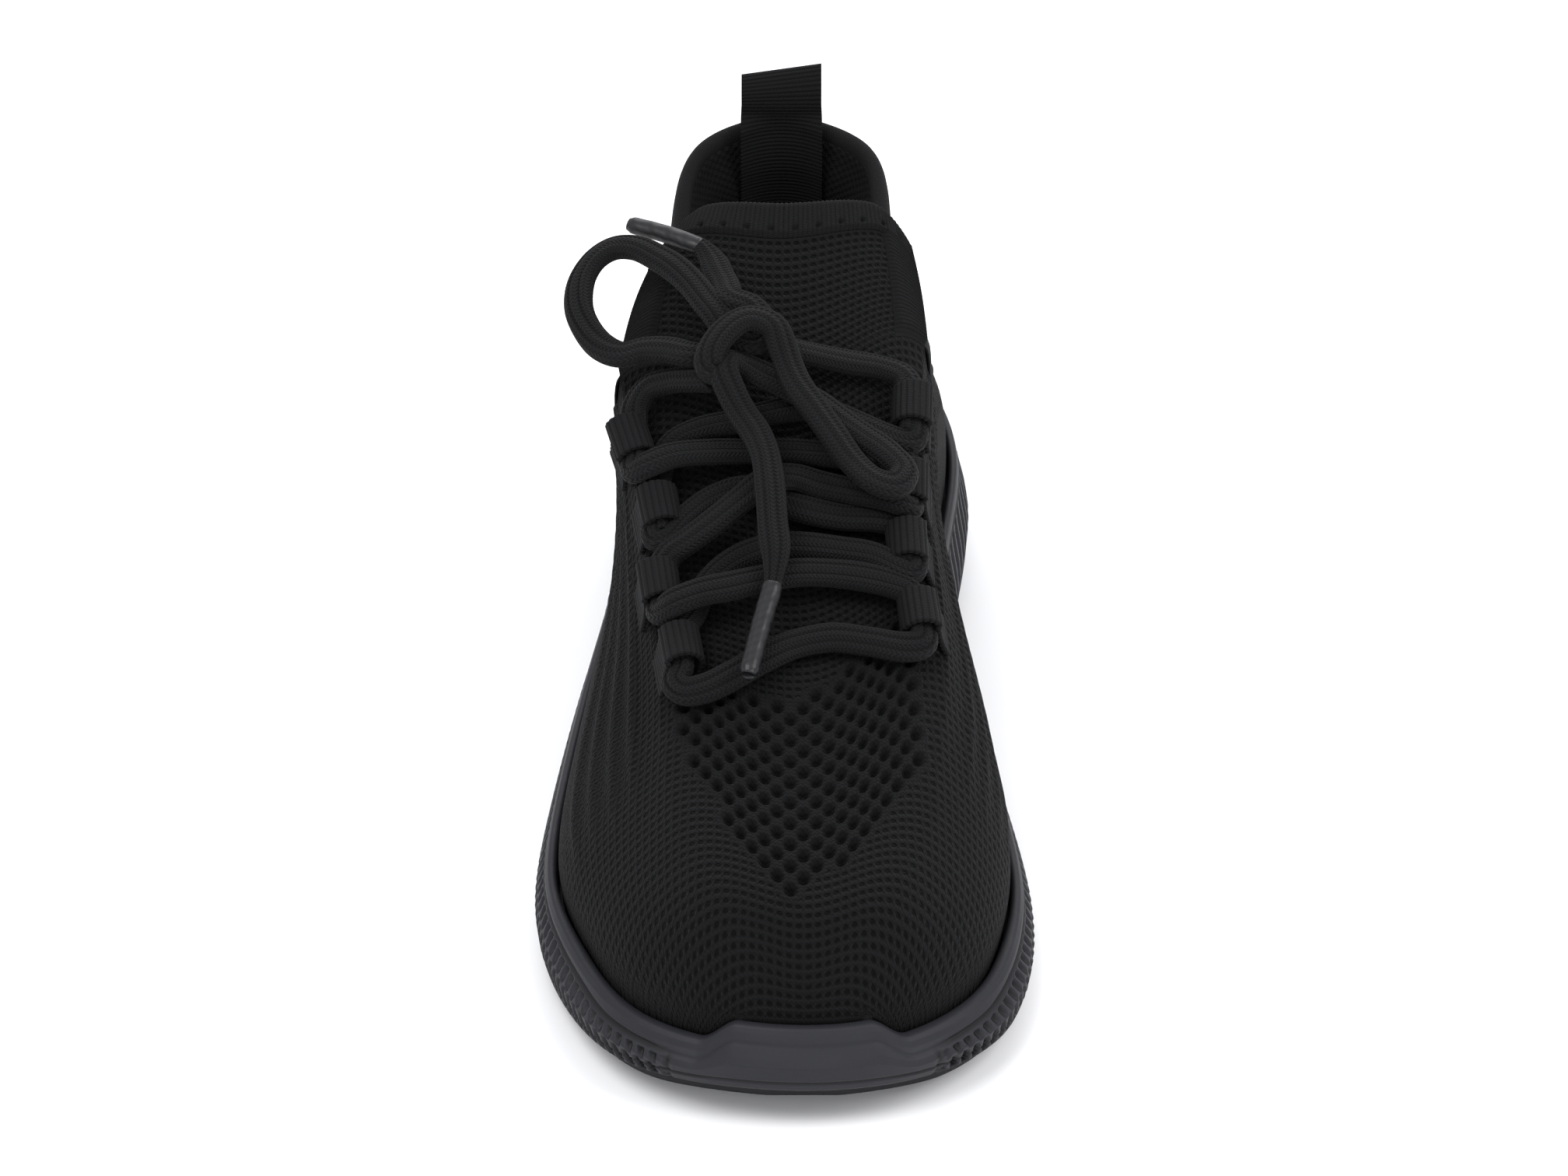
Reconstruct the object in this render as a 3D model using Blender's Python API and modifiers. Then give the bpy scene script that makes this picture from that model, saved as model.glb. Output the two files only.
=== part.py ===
"""Knitted running shoe for a right foot: moulded sole unit, one-piece knit upper, webbing lace
loops, a tied oval lace and a webbing pull tab that flips at the heel. The toe points to -Y, the
heel to +Y and the inner (medial) side to +X. Tables are in millimetres; meshes are in metres."""

import math

import bmesh
import bpy
import numpy as np
from mathutils import Matrix

MM = 0.001

# Sole plan at its widest, from the toe tip round the outer side to the heel and back.
SOLE_PLAN = [
    (4, -146), (-20, -141), (-38, -127), (-49, -103), (-53.5, -76), (-51.5, -42), (-46, 2),
    (-40.5, 42), (-38, 86), (-29.5, 127), (2, 146), (32.5, 125), (43, 84), (39.5, 42),
    (42.5, 0), (50, -48), (53.5, -86), (47.5, -119), (28, -140),
]
PLAN_HEEL = 10              # number of the plan point at the middle of the heel
SPRING = [(-146, 6.5), (-128, 3.6), (-100, 0.7), (-80, 0), (112, 0), (130, 1), (146, 4.5)]
RIM = [(-146, 18), (-110, 18.5), (-60, 20.5), (0, 24), (60, 28), (110, 31), (146, 33)]
WALL = [(-146, 6.6), (-112, 6.8), (-76, 4.9), (146, 4.9)]    # plan inset of the cup's inner wall
BED = [(-146, 16), (-110, 13), (-60, 12.5), (0, 16), (60, 20), (146, 22)]
BUMPER_RISE, BUMPER_CENTRE, BUMPER_HALF, BUMPER_FADE = 5.5, 4, 13, 8
OUTSOLE_THICK = 2.7
GAP = 0.3
KNIT_ROOM = 0.5             # from the cup's wall to the knit
KNIT_THICK = 1.8

# Lengthwise lines of the upper. Rows run from the toe (0) to the collar notch (1).
ROWS_FRONT = [0, 0.12, 0.26, 0.42, 0.58, 0.72, 0.86, 1]
CENTRE = [(4, -138.5, 25), (4, -132, 40), (4, -117, 47.5), (4, -94, 52), (4, -69, 58), (3, -43, 67.5),
          (1, -18, 79), (0, 6, 92)]
THROAT_OUT = [(-7, -137.5, 25), (-14, -127, 39.5), (-21, -109, 45), (-25, -84, 49), (-27, -58, 54.5),
              (-29, -35, 64), (-32, -10, 76.5), (-36, 14, 90)]
THROAT_IN = [(15, -137.5, 25), (22, -127, 39.5), (29, -107, 45), (33, -80, 50.5), (35, -50, 57.5),
             (33, -24, 67), (30.5, 0, 79), (31, 26, 91)]
TOE_ARC = 0.72              # half the first row, in plan points either side of the toe tip
SIDE_OUT, SIDE_IN = 7.35, 12.65    # plan numbers under the two notches

# The tongue above the notches, and the collar from the notches round the heel.
TONGUE_CENTRE = [(0, 6, 92), (-0.5, 25, 104), (0, 44, 116)]
TONGUE_OUT = [(-36, 14, 90), (-32, 32, 99.5), (-24, 50, 108)]
TONGUE_IN = [(31, 26, 91), (29.5, 38, 99.5), (26.5, 51, 108)]
COLLAR_OUT = [(-36, 14, 90), (-34.5, 36, 81), (-31.5, 60, 73), (-28, 84, 72), (-25.5, 105, 79),
              (-20.5, 127, 87.5), (0, 138.5, 90.5)]
COLLAR_IN = [(31, 26, 91), (31.5, 45, 83), (30, 66, 74.5), (26.5, 87, 73), (24, 107, 80),
             (20, 127, 87.5), (0, 138.5, 90.5)]

# The lace is one piece. Its route is chosen point by point: up through the loops of each side
# from the straight bar, crossing over the tongue, to the bow knot, its two bows and two ends.
LACE_RADIUS = 2.2
LACE_RUN = [
    (-18.6, -3.6, 99.4), (-24.5, 0.6, 96.6), (-29.5, 2.4, 93.8), (-32.4, 0, 90.6),
    (-32.8, -3.6, 88.4), (-32.7, -8, 86.4), (-32.4, -12.6, 84.2), (-32.2, -16.4, 84),
    (-29.4, -18, 86.4), (-24, -16.8, 88), (-15, -14.6, 87.6), (-6, -12.8, 86.6), (3, -12, 86),
    (12, -12.2, 85.2), (20, -12.2, 84.2), (25.2, -11.4, 83.6), (27.3, -13.4, 82.4),
    (27.3, -18, 80.2), (27.2, -22.2, 79), (26.8, -24.6, 79.9), (23.4, -25, 81.9),
    (16, -22.8, 82.2), (8, -20.8, 83), (2, -20.6, 84.8), (-3.5, -23.8, 85.8), (-9, -28.6, 84),
    (-15, -32.4, 80.6), (-20.5, -34.4, 77), (-24.4, -34.8, 74), (-26, -36.8, 72),
    (-26.2, -40.5, 70.3), (-26.6, -44.8, 67.8), (-26.4, -48.6, 67.9), (-23, -51, 71.8),
    (-17.5, -49.8, 73.4), (-11.5, -48.8, 74.2), (-5, -46.6, 74.6), (2, -44, 74.6),
    (9, -42.6, 73.8), (17, -42, 72.4), (23.5, -42.5, 70.8), (27, -43.8, 69.4),
    (28.7, -48, 67.4), (29.8, -52.5, 65.4), (29.4, -56, 64.2), (25.5, -57.4, 64.2),
    (18, -56.8, 65.2), (10, -56.2, 65.8), (2, -58.4, 65.4), (-4.5, -62.6, 64.6),
    (-10.5, -66.6, 63), (-16.5, -68.2, 60.6), (-21, -67.4, 59.4), (-23.2, -64.8, 60),
    (-22.3, -61.6, 61.5), (-22.5, -57.5, 63.5), (-22.2, -53, 65.2), (-20.2, -48.4, 66),
    (-18, -44, 69), (-13.5, -39, 72.2), (-8, -36, 74.4), (-2, -34.2, 75.3), (5, -33.9, 75.2),
    (12, -34.4, 74.6), (19, -35.8, 74), (24.2, -38.2, 72.8), (27.2, -38.2, 71.8),
    (27.9, -35.2, 72.8), (27.3, -32, 74.2), (26.6, -28.4, 75.8), (24.4, -26.2, 76.2),
    (20, -25.8, 77.4), (12, -26, 78), (5, -25.2, 79.2), (-2, -23, 80.4), (-8, -20.8, 81.8),
    (-15, -22.3, 80.6), (-21, -26.2, 77.8), (-25.2, -30, 75.2), (-27.5, -29.8, 75),
    (-27.8, -27, 76.6), (-27.6, -22.8, 78.7), (-27.6, -19.2, 80.1), (-27.4, -15.4, 80.9),
    (-26.4, -11.2, 83.2), (-23.5, -8, 86.4), (-18, -6.9, 88.8), (-11, -6, 90), (-4, -4, 91),
    (3, -2.4, 91.5), (9.5, -2.8, 90.8), (16, -4.8, 89), (22, -7, 87.4), (26, -7.6, 86.3),
    (28, -6.4, 86.2), (28.2, -3.4, 87.5), (27.9, 0.5, 89.6), (27.5, 4.6, 91.6), (26, 8.2, 93.4),
    (21, 9.6, 95), (14, 8.4, 97), (7, 7, 99.4), (1.6, 5.4, 101.6),
]
BOW_OUT = [
    (-20.4, 0.4, 103.4), (-25, 3, 103), (-30.3, 4.8, 102), (-35.3, 4.8, 100.8),
    (-39.6, 7.8, 101), (-43, 12.7, 102.6), (-45, 18.4, 105.1), (-44.4, 24.7, 108.5),
    (-41.4, 29, 111.4), (-37.3, 30.7, 113.2), (-32.5, 29.5, 113.9), (-27.8, 26.1, 113.4),
    (-23.9, 22.6, 112.6), (-20.1, 18, 111.2), (-17, 13, 109.6), (-14.8, 9.6, 108.4),
]
BOW_IN = [
    (0, -2.2, 105.6), (1.2, -5, 103.2), (3.2, -9.2, 100.6), (6.8, -13.8, 97.6), (10.4, -18.4, 94.4),
    (14.6, -23.4, 90.4), (19.6, -28.2, 88.2), (23.8, -28.6, 87.4), (25.8, -24.4, 88.2),
    (22.5, -19.8, 90.2), (17.5, -15.8, 92), (12.1, -11.4, 93.8), (7.1, -7.6, 95.8),
    (1.8, -4.6, 97.6),
]
END_OUT = [(-11.6, 13, 110.2), (-12.8, 18, 110.6), (-14.2, 22.6, 111), (-15.8, 27.4, 112),
           (-18.4, 31, 113.4)]
AGLET_OUT = [(-20.6, 32.2, 113.7), (-26.4, 36, 114), (-34.2, 40.4, 114)]
END_IN = [(-13, -6.6, 103), (-11.4, -10, 99.8), (-9, -13.4, 96.4), (-6, -18, 94),
          (-4, -24, 92), (-3, -31.6, 88.6), (-2.4, -39.6, 84), (-1.8, -46, 80.4),
          (-2.4, -51.8, 76.6)]
AGLET_IN = [(-2.6, -52.8, 76), (-4.8, -61, 72.2), (-7.6, -73, 66.8)]
AGLET_RADIUS = 2.3
KNOT_CENTRE, KNOT_HALF, KNOT_TURN = (-9.6, 3.2, 104.4), (9.4, 8.6, 6.0), 30

# Lace loops: the lace's place in each. Each is a webbing strip folded round the lace.
LOOPS_OUT = [(-22.5, -57.5, 63.5), (-26.2, -40.5, 70.3), (-27.6, -22.8, 78.7), (-32.7, -8, 86.4)]
LOOPS_IN = [(28.7, -48, 67.4), (27.3, -32, 74.2), (27.3, -18, 80.2), (27.9, 0.5, 89.6)]
LOOP_WIDTH, LOOP_ROUND, LOOP_REACH, WEB_THICK = 6.8, 4.1, 7.6, 0.9

# Pull tab: a folded webbing strip on the heel's rim, with its sewn leg inside the heel.
TAB_WIDTH, TAB_TALL, TAB_BULB, TAB_BASE = 19.0, 12.0, 4.1, 1.2
TAB_AXIS = (-0.6, 132, 93.4)        # the fold line that the tab flips about
TAB_THICK = 1.0
TAB_LEG = [(129, 91.6), (128.8, 88), (128.8, 83), (129.8, 77), (131.2, 68), (132.2, 58), (132.4, 48)]
TAB_LEG_BOW = 4.0                   # how far the leg's edges lie in front of its middle

SOLE_COLUMNS = 80
FRONT_STEPS, TONGUE_STEPS, REAR_STEPS = 18, 5, 15
BAND_SHARE = 0.14           # share of the tongue's half width that its edge band covers
BAND_FROM = 0.80            # the band covers the tongue's rows from here up
COLLAR_FROM = 0.87          # the rolled collar covers the flank from here up


# ---- curves -------------------------------------------------------------------------------

def spline(points, at, closed=False):
    """Values at numbers `at` (0 is the first point) on a smooth curve through the points."""
    p = np.array(points, float)
    if closed:
        return loop_spline(p, at)
    count = len(p)
    matrix = np.eye(count) * 4
    for i in range(count - 1):
        matrix[i, i + 1] = matrix[i + 1, i] = 1
    matrix[0, :2] = 1, 0
    matrix[-1, -2:] = 0, 1
    right = np.zeros_like(p)
    right[1:-1] = 6 * (p[2:] - 2 * p[1:-1] + p[:-2])
    second = np.linalg.solve(matrix, right)
    return cubic(p, second, np.clip(at, 0, count - 1))


def loop_spline(p, at):
    count = len(p)
    matrix = np.eye(count) * 4
    for i in range(count):
        matrix[i, (i + 1) % count] += 1
        matrix[i, i - 1] += 1
    right = 6 * (np.roll(p, -1, 0) - 2 * p + np.roll(p, 1, 0))
    second = np.linalg.solve(matrix, right)
    return cubic(np.vstack([p, p[:1]]), np.vstack([second, second[:1]]), np.mod(at, count))


def cubic(p, second, at):
    at = np.asarray(at, float)
    i = np.clip(at.astype(int), 0, len(p) - 2)
    f = (at - i)[..., None] if p.ndim > 1 else at - i
    g = 1 - f
    return g * p[i] + f * p[i + 1] + ((g**3 - g) * second[i] + (f**3 - f) * second[i + 1]) / 6


def level(stations, y):
    """Height at y, on a smooth curve through (y, height) stations."""
    ys = np.array([s[0] for s in stations], float)
    number = np.interp(y, ys, np.arange(len(ys)))
    i = np.clip(number.astype(int), 0, len(ys) - 2)
    h = ys[i + 1] - ys[i]
    f = np.clip((y - ys[i]) / h, 0, 1)
    z = np.array([s[1] for s in stations], float)
    rise = np.diff(z) / np.diff(ys)
    before, after = rise[:-1], rise[1:]
    same = before * after > 0
    inside = np.where(same, 2 * before * after / np.where(same, before + after, 1), 0)
    slope = np.concatenate([rise[:1], inside, rise[-1:]])
    return ((1 + 2 * f) * (1 - f)**2 * z[i] + f * (1 - f)**2 * h * slope[i]
            + f * f * (3 - 2 * f) * z[i + 1] + f * f * (f - 1) * h * slope[i + 1])


def step(x):
    x = np.clip(x, 0, 1)
    return x * x * (3 - 2 * x)


# ---- the sole's shape ---------------------------------------------------------------------

def plan(at, inset=0.0):
    """(x, y) on the sole's plan at plan numbers `at`, moved in by inset."""
    here = spline(SOLE_PLAN, at, closed=True)
    ahead = spline(SOLE_PLAN, at + 0.01, closed=True) - spline(SOLE_PLAN, at - 0.01, closed=True)
    ahead /= np.linalg.norm(ahead, axis=-1, keepdims=True)
    inward = np.stack([-ahead[..., 1], ahead[..., 0]], -1)
    return here - inward * inset


def wall(at, more=0.0):
    """(x, y) on the inner wall of the sole's cup, or `more` further in."""
    return plan(at, (level(WALL, plan(at)[..., 1]) + more)[..., None])


def rim_height(xy):
    bumper = 1 - step((abs(xy[..., 0] - BUMPER_CENTRE) - BUMPER_HALF) / BUMPER_FADE)
    front = step((-xy[..., 1] - 100) / 20)
    return level(RIM, xy[..., 1]) + BUMPER_RISE * bumper * front


def sole_rings():
    """Rings of the sole unit from under the foot, out and up the side wall, over the rim, down."""
    at = np.linspace(0, len(SOLE_PLAN), SOLE_COLUMNS, endpoint=False)
    outer = plan(at)
    low = level(SPRING, outer[:, 1]) + OUTSOLE_THICK + GAP
    rim = rim_height(wall(at))
    tall = rim - low
    rings = []
    for share, z in (
        (2.9, low), (0.9, low), (0.6, low), (0.22, low + 0.22 * tall), (0, low + 0.48 * tall),
        (0.1, low + 0.60 * tall), (0.38, low + 0.80 * tall), (0.5, low + 0.94 * tall),
        (0.64, rim), (0.86, rim), (1.0, rim - 1.2),
    ):
        xy = plan(at, (level(WALL, outer[:, 1]) * share)[:, None])
        rings.append(np.column_stack([xy, z]))
    inner = wall(at, 0.2)
    rings.append(np.column_stack([inner, level(BED, inner[:, 1])]))
    deep = plan(at, 20)
    rings.append(np.column_stack([deep, level(BED, deep[:, 1])]))
    return rings


# ---- the upper's shape --------------------------------------------------------------------

def bezier(a, b, c, d, s):
    s = s[:, None, None]
    return (1 - s)**3 * a + 3 * s * (1 - s)**2 * b + 3 * s * s * (1 - s) * c + s**3 * d


def unit(v):
    return v / np.maximum(np.linalg.norm(v, axis=-1, keepdims=True), 1e-9)


def feather(at):
    """Points where the upper meets the sole's rim."""
    return np.column_stack([wall(at, KNIT_ROOM), rim_height(wall(at))])


def inward_at(at):
    normal = np.zeros((len(at), 3))
    normal[:, :2] = unit(plan(at, 1.0) - plan(at))
    return normal


def flank(start, at, edge, across, lean, bulge, s):
    """Curves from the feather line up to an edge line, which they meet leaning by `lean`."""
    up = np.array([0, 0, 1.0])
    tall = np.linalg.norm(edge - start, axis=1, keepdims=True)
    tangent = leaning(across, lean)
    first = start + up * tall * 0.32 - inward_at(at) * bulge[:, None]
    return bezier(start, first, edge - tangent * tall * 0.36, edge, s)


def leaning(across, degrees):
    lean = np.radians(degrees)[:, None]
    return across * np.cos(lean) + np.array([0, 0, 1.0]) * np.sin(lean)


def front_surface(row, side, flank_s, top_s):
    """Grid [s, row, xyz] of one half of the vamp, from the feather line to the centre line."""
    number = np.interp(row, ROWS_FRONT, np.arange(len(ROWS_FRONT)))
    edge = spline(THROAT_OUT if side < 0 else THROAT_IN, number)
    other = spline(THROAT_IN if side < 0 else THROAT_OUT, number)
    centre = spline(CENTRE, number)
    first, last = (TOE_ARC, SIDE_OUT) if side < 0 else (len(SOLE_PLAN) - TOE_ARC, SIDE_IN)
    at = first + (last - first) * row
    start = feather(at)
    across = unit((other - edge) * np.array([1, 1, 0]))
    lean = np.interp(row, [0, 0.12, 0.4, 0.7, 1], [20, 30, 40, 66, 82])
    bulge = np.interp(row, [0, 0.1, 0.3, 0.6, 1], [0, 1.5, 2.5, 1.5, -1.0])
    low = flank(start, at, edge, across, lean, bulge, flank_s)
    tangent = leaning(across, np.interp(row, [0, 0.12, 0.4, 0.7, 1], [20, 28, 30, 38, 50]))
    wide = np.linalg.norm(centre - edge, axis=1, keepdims=True)
    high = bezier(edge, edge + tangent * wide * 0.36, centre - across * wide * 0.36, centre, top_s)
    grid = np.concatenate([low, high[1:]])
    # The first row lies on the sole's rim, and the next ones leave it smoothly.
    share = np.concatenate([flank_s * 0.5, 0.5 + top_s[1:] * 0.5])
    tip = 0.0 if side < 0 else float(len(SOLE_PLAN))
    arc = feather(first + (tip - first) * share)
    at_rim = front_row_zero(side, flank_s, top_s) if np.ndim(row) and len(row) > 1 else grid[:, 0]
    fade = (1 - step(row / 0.14))[None, :, None]
    return grid + (arc - at_rim)[:, None, :] * fade


def front_row_zero(side, flank_s, top_s):
    """The free shape of the first row, before it is laid on the rim."""
    edge = np.array([(THROAT_OUT if side < 0 else THROAT_IN)[0]], float)
    other = np.array([(THROAT_IN if side < 0 else THROAT_OUT)[0]], float)
    centre = np.array([CENTRE[0]], float)
    at = np.array([TOE_ARC if side < 0 else len(SOLE_PLAN) - TOE_ARC])
    across = unit((other - edge) * np.array([1, 1, 0]))
    low = flank(feather(at), at, edge, across, np.array([20.0]), np.zeros(1), flank_s)
    tangent = leaning(across, np.array([20.0]))
    wide = np.linalg.norm(centre - edge, axis=1, keepdims=True)
    high = bezier(edge, edge + tangent * wide * 0.36, centre - across * wide * 0.36, centre, top_s)
    return np.concatenate([low, high[1:]])[:, 0]


def tongue_surface(row, side, top_s):
    """Grid [s, row, xyz] of half the tongue above the notches, from its edge to its centre."""
    edge = spline(TONGUE_OUT if side < 0 else TONGUE_IN, row * 2)
    other = spline(TONGUE_IN if side < 0 else TONGUE_OUT, row * 2)
    centre = spline(TONGUE_CENTRE, row * 2)
    across = unit((other - edge) * np.array([1, 1, 0]))
    tangent = leaning(across, np.full(len(row), 50.0))
    wide = np.linalg.norm(centre - edge, axis=1, keepdims=True)
    return bezier(edge, edge + tangent * wide * 0.36, centre - across * wide * 0.36, centre, top_s)


def rear_surface(row, side, flank_s):
    """Grid [s, row, xyz] of one quarter, from its notch (0) to the middle of the heel (1)."""
    edge = spline(COLLAR_OUT if side < 0 else COLLAR_IN, row * 6)
    first = SIDE_OUT if side < 0 else SIDE_IN
    at = first + (PLAN_HEEL - first) * row
    start = feather(at)
    across = inward_at(at)
    start_across = unit(np.array([[67.0, 12.0, 0]]) * (1 if side < 0 else -1))
    blend = step(row / 0.2)[:, None]
    across = unit(start_across * (1 - blend) + across * blend)
    lean = np.interp(row, [0, 0.3, 0.7, 1], [82, 82, 84, 88])
    bulge = np.interp(row, [0, 0.3, 0.7, 1], [-1.0, 0.5, 3.5, 6.0])
    return flank(start, at, edge, across, lean, bulge, flank_s)


# ---- meshes -------------------------------------------------------------------------------

def material(name, colour, roughness):
    found = bpy.data.materials.get(name)
    if found:
        return found
    made = bpy.data.materials.new(name)
    made.use_nodes = True
    shader = made.node_tree.nodes["Principled BSDF"]
    shader.inputs["Base Color"].default_value = (*colour, 1)
    shader.inputs["Roughness"].default_value = roughness
    shader.inputs["Metallic"].default_value = 0.0
    return made


def add_object(name, data, look, smooth=True):
    made = bpy.data.objects.new(name, data)
    PARTS.objects.link(made)
    data.materials.append(look)
    if smooth and hasattr(data, "shade_smooth"):
        data.shade_smooth()
        data.set_sharp_from_angle(angle=math.radians(45))
    return made


def mesh_from(name, points, faces, look):
    """A mesh object from points in millimetres, with meeting points joined."""
    data = bpy.data.meshes.new(name)
    data.from_pydata([tuple(p) for p in np.asarray(points) * MM], [], faces)
    bm = bmesh.new()
    bm.from_mesh(data)
    bmesh.ops.remove_doubles(bm, verts=bm.verts, dist=0.00002)
    bmesh.ops.dissolve_degenerate(bm, edges=bm.edges, dist=0.00001)
    bmesh.ops.recalc_face_normals(bm, faces=bm.faces)
    bm.to_mesh(data)
    bm.free()
    return add_object(name, data, look)


def grid_mesh(grids, flips):
    """Points and quads of several grids [s, row, xyz]; flip turns a grid's faces round."""
    points, faces = [], []
    for grid, flip in zip(grids, flips):
        base, (wide, long) = len(points), grid.shape[:2]
        points += list(grid.reshape(-1, 3))
        for i in range(wide - 1):
            for j in range(long - 1):
                quad = [base + i * long + j, base + (i + 1) * long + j,
                        base + (i + 1) * long + j + 1, base + i * long + j + 1]
                faces.append(quad[::-1] if flip else quad)
    return points, faces


def skin(name, grids, flips, look, depth, thick):
    """A closed layer of even thickness whose outer face lies `depth` inside the grids."""
    points, faces = grid_mesh(grids, flips)
    data = bpy.data.meshes.new(name)
    data.from_pydata([tuple(p) for p in np.asarray(points) * MM], [], faces)
    bm = bmesh.new()
    bm.from_mesh(data)
    bmesh.ops.remove_doubles(bm, verts=bm.verts, dist=0.00002)
    bmesh.ops.dissolve_degenerate(bm, edges=bm.edges, dist=0.00001)
    bm.normal_update()
    moves = [(v, v.co - v.normal * depth * MM) for v in bm.verts]
    for vertex, place in moves:
        vertex.co = place
    bm.to_mesh(data)
    bm.free()
    made = add_object(name, data, look)
    solid = made.modifiers.new("thickness", "SOLIDIFY")
    solid.thickness = thick * MM
    solid.offset = -1
    return made


def loft(name, rings, look):
    """A closed solid through rings of equal count; the end rings are closed across."""
    count = len(rings[0])
    points = [p for ring in rings for p in ring]
    faces = []
    for k in range(len(rings) - 1):
        for i in range(count):
            j = (i + 1) % count
            faces.append([k * count + i, k * count + j, (k + 1) * count + j, (k + 1) * count + i])
    for k in (0, len(rings) - 1):
        faces += across(k * count, count)
    return mesh_from(name, points, faces, look)


def across(base, count):
    """Faces over a long ring: a strip between point i and its partner on the other side."""
    half = count // 2
    made = [[base, base + 1, base + count - 1]]
    for i in range(1, half - 1):
        made.append([base + i, base + i + 1, base + count - i - 1, base + count - i])
    made.append([base + half - 1, base + half, base + half + 1])
    return made


def tube(name, points, look, radius):
    """A round tube along points in millimetres, closed at both ends."""
    data = bpy.data.curves.new(name, "CURVE")
    data.dimensions = "3D"
    data.bevel_depth = radius * MM
    data.bevel_resolution = 2
    data.use_fill_caps = True
    line = data.splines.new("POLY")
    line.points.add(len(points) - 1)
    for point, place in zip(line.points, points):
        point.co = (*(np.array(place) * MM), 1)
    return add_object(name, data, look, smooth=False)


def band_outline(name, outline, hole, half_width, look):
    """A flat strip folded into a loop: an outline with a hole, extruded by its width."""
    data = bpy.data.curves.new(name, "CURVE")
    data.dimensions = "2D"
    data.fill_mode = "BOTH"
    data.extrude = half_width * MM
    for shape in (outline, hole):
        line = data.splines.new("POLY")
        line.points.add(len(shape) - 1)
        for point, (x, y) in zip(line.points, shape):
            point.co = (x * MM, y * MM, 0, 1)
        line.use_cyclic_u = True
    return add_object(name, data, look, smooth=False)


# ---- sole unit ----------------------------------------------------------------------------

def plate(name, outline_inset, ends, height, thick, look, rows, columns=7):
    """A plate across the sole between two y ends that follows a height line."""
    at = np.linspace(0, PLAN_HEEL, 400)
    outer = plan(at, outline_inset)
    inner = plan(len(SOLE_PLAN) - np.linspace(0, len(SOLE_PLAN) - PLAN_HEEL, 400), outline_inset)
    lowest = max(outer[:, 1].min(), inner[:, 1].min(), ends[0])
    highest = min(outer[:, 1].max(), inner[:, 1].max(), ends[1])
    turn = np.linspace(0, math.pi, rows)
    ys = (lowest + highest) / 2 - (highest - lowest) / 2 * np.cos(turn)
    left = edge_at(outer, ys)
    right = edge_at(inner, ys)
    round_front, round_back = ends[0] > -146, ends[1] < 146
    left, right = round_ends(left, right, ys, round_front, round_back)
    share = (1 - np.cos(np.linspace(0, math.pi, columns))) / 2
    x = left[None] + (right - left)[None] * share[:, None]
    y = np.repeat(ys[None], columns, 0)
    grid = np.stack([x, y, level(height[0], y) + height[1]], -1)
    return skin(name, [grid], [False], look, 0, thick)


def edge_at(line, ys):
    order = np.argsort(line[:, 1])
    return np.interp(ys, line[order, 1], line[order, 0])


def round_ends(left, right, ys, front, back, reach=22.0):
    """Rounds off the end of a plate that stops part of the way along the sole."""
    middle = (left + right) / 2
    for wanted, gone in ((front, ys - ys[0]), (back, ys[-1] - ys)):
        if wanted:
            share = np.sqrt(np.clip(1 - (1 - np.clip(gone / reach, 0, 1))**2, 0, 1))
            left = middle + (left - middle) * share
            right = middle + (right - middle) * share
    return left, right


def make_sole():
    rubber = material("sole_rubber", (0.030, 0.032, 0.036), 0.42)
    tread = material("tread_rubber", (0.022, 0.022, 0.024), 0.6)
    loft("midsole", sole_rings(), rubber)
    outsole_height = (SPRING, OUTSOLE_THICK)
    plate("outsole_forefoot", 5.0, (-146, -8), outsole_height, OUTSOLE_THICK, tread, 22)
    plate("outsole_heel", 5.0, (48, 146), outsole_height, OUTSOLE_THICK, tread, 16)
    board = material("board", (0.25, 0.24, 0.22), 0.9)
    foam = material("insole_foam", (0.035, 0.035, 0.038), 0.9)
    plate("strobel_board", 9.7, (-146, 146), (BED, 2.2), 1.2, board, 26)
    plate("insole", 10.4, (-146, 146), (BED, 2.2 + GAP + 3.8), 3.8, foam, 26)


# ---- upper --------------------------------------------------------------------------------

FLANK = np.array([0, 0.17, 0.35, 0.52, 0.70, COLLAR_FROM, 1.0])
TOP = np.array([0, BAND_SHARE, 0.40, 0.70, 1.0])
SIDES = ((-1, False), (1, True))


def front_rows():
    return np.linspace(0, 1, FRONT_STEPS + 1)**1.15


def skirt(start_at, lowest=0.6):
    """Points down inside the sole's cup, under feather points."""
    xy = wall(start_at, KNIT_ROOM + 0.3)
    return np.column_stack([xy, level(BED, xy[:, 1]) + lowest])


def with_skirt(grid, at):
    return np.concatenate([skirt(at)[None], grid])


def front_numbers(side, rows):
    first, last = (TOE_ARC, SIDE_OUT) if side < 0 else (len(SOLE_PLAN) - TOE_ARC, SIDE_IN)
    return first + (last - first) * rows


def rear_numbers(side, rows):
    first = SIDE_OUT if side < 0 else SIDE_IN
    return first + (PLAN_HEEL - first) * rows


def toe_skirt(side):
    """The strip that carries the first row down inside the cup."""
    share = np.concatenate([FLANK * 0.5, 0.5 + TOP[1:] * 0.5])
    first = TOE_ARC if side < 0 else len(SOLE_PLAN) - TOE_ARC
    tip = 0.0 if side < 0 else float(len(SOLE_PLAN))
    at = first + (tip - first) * share
    return np.stack([skirt(at), feather(at)], 1)


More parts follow.
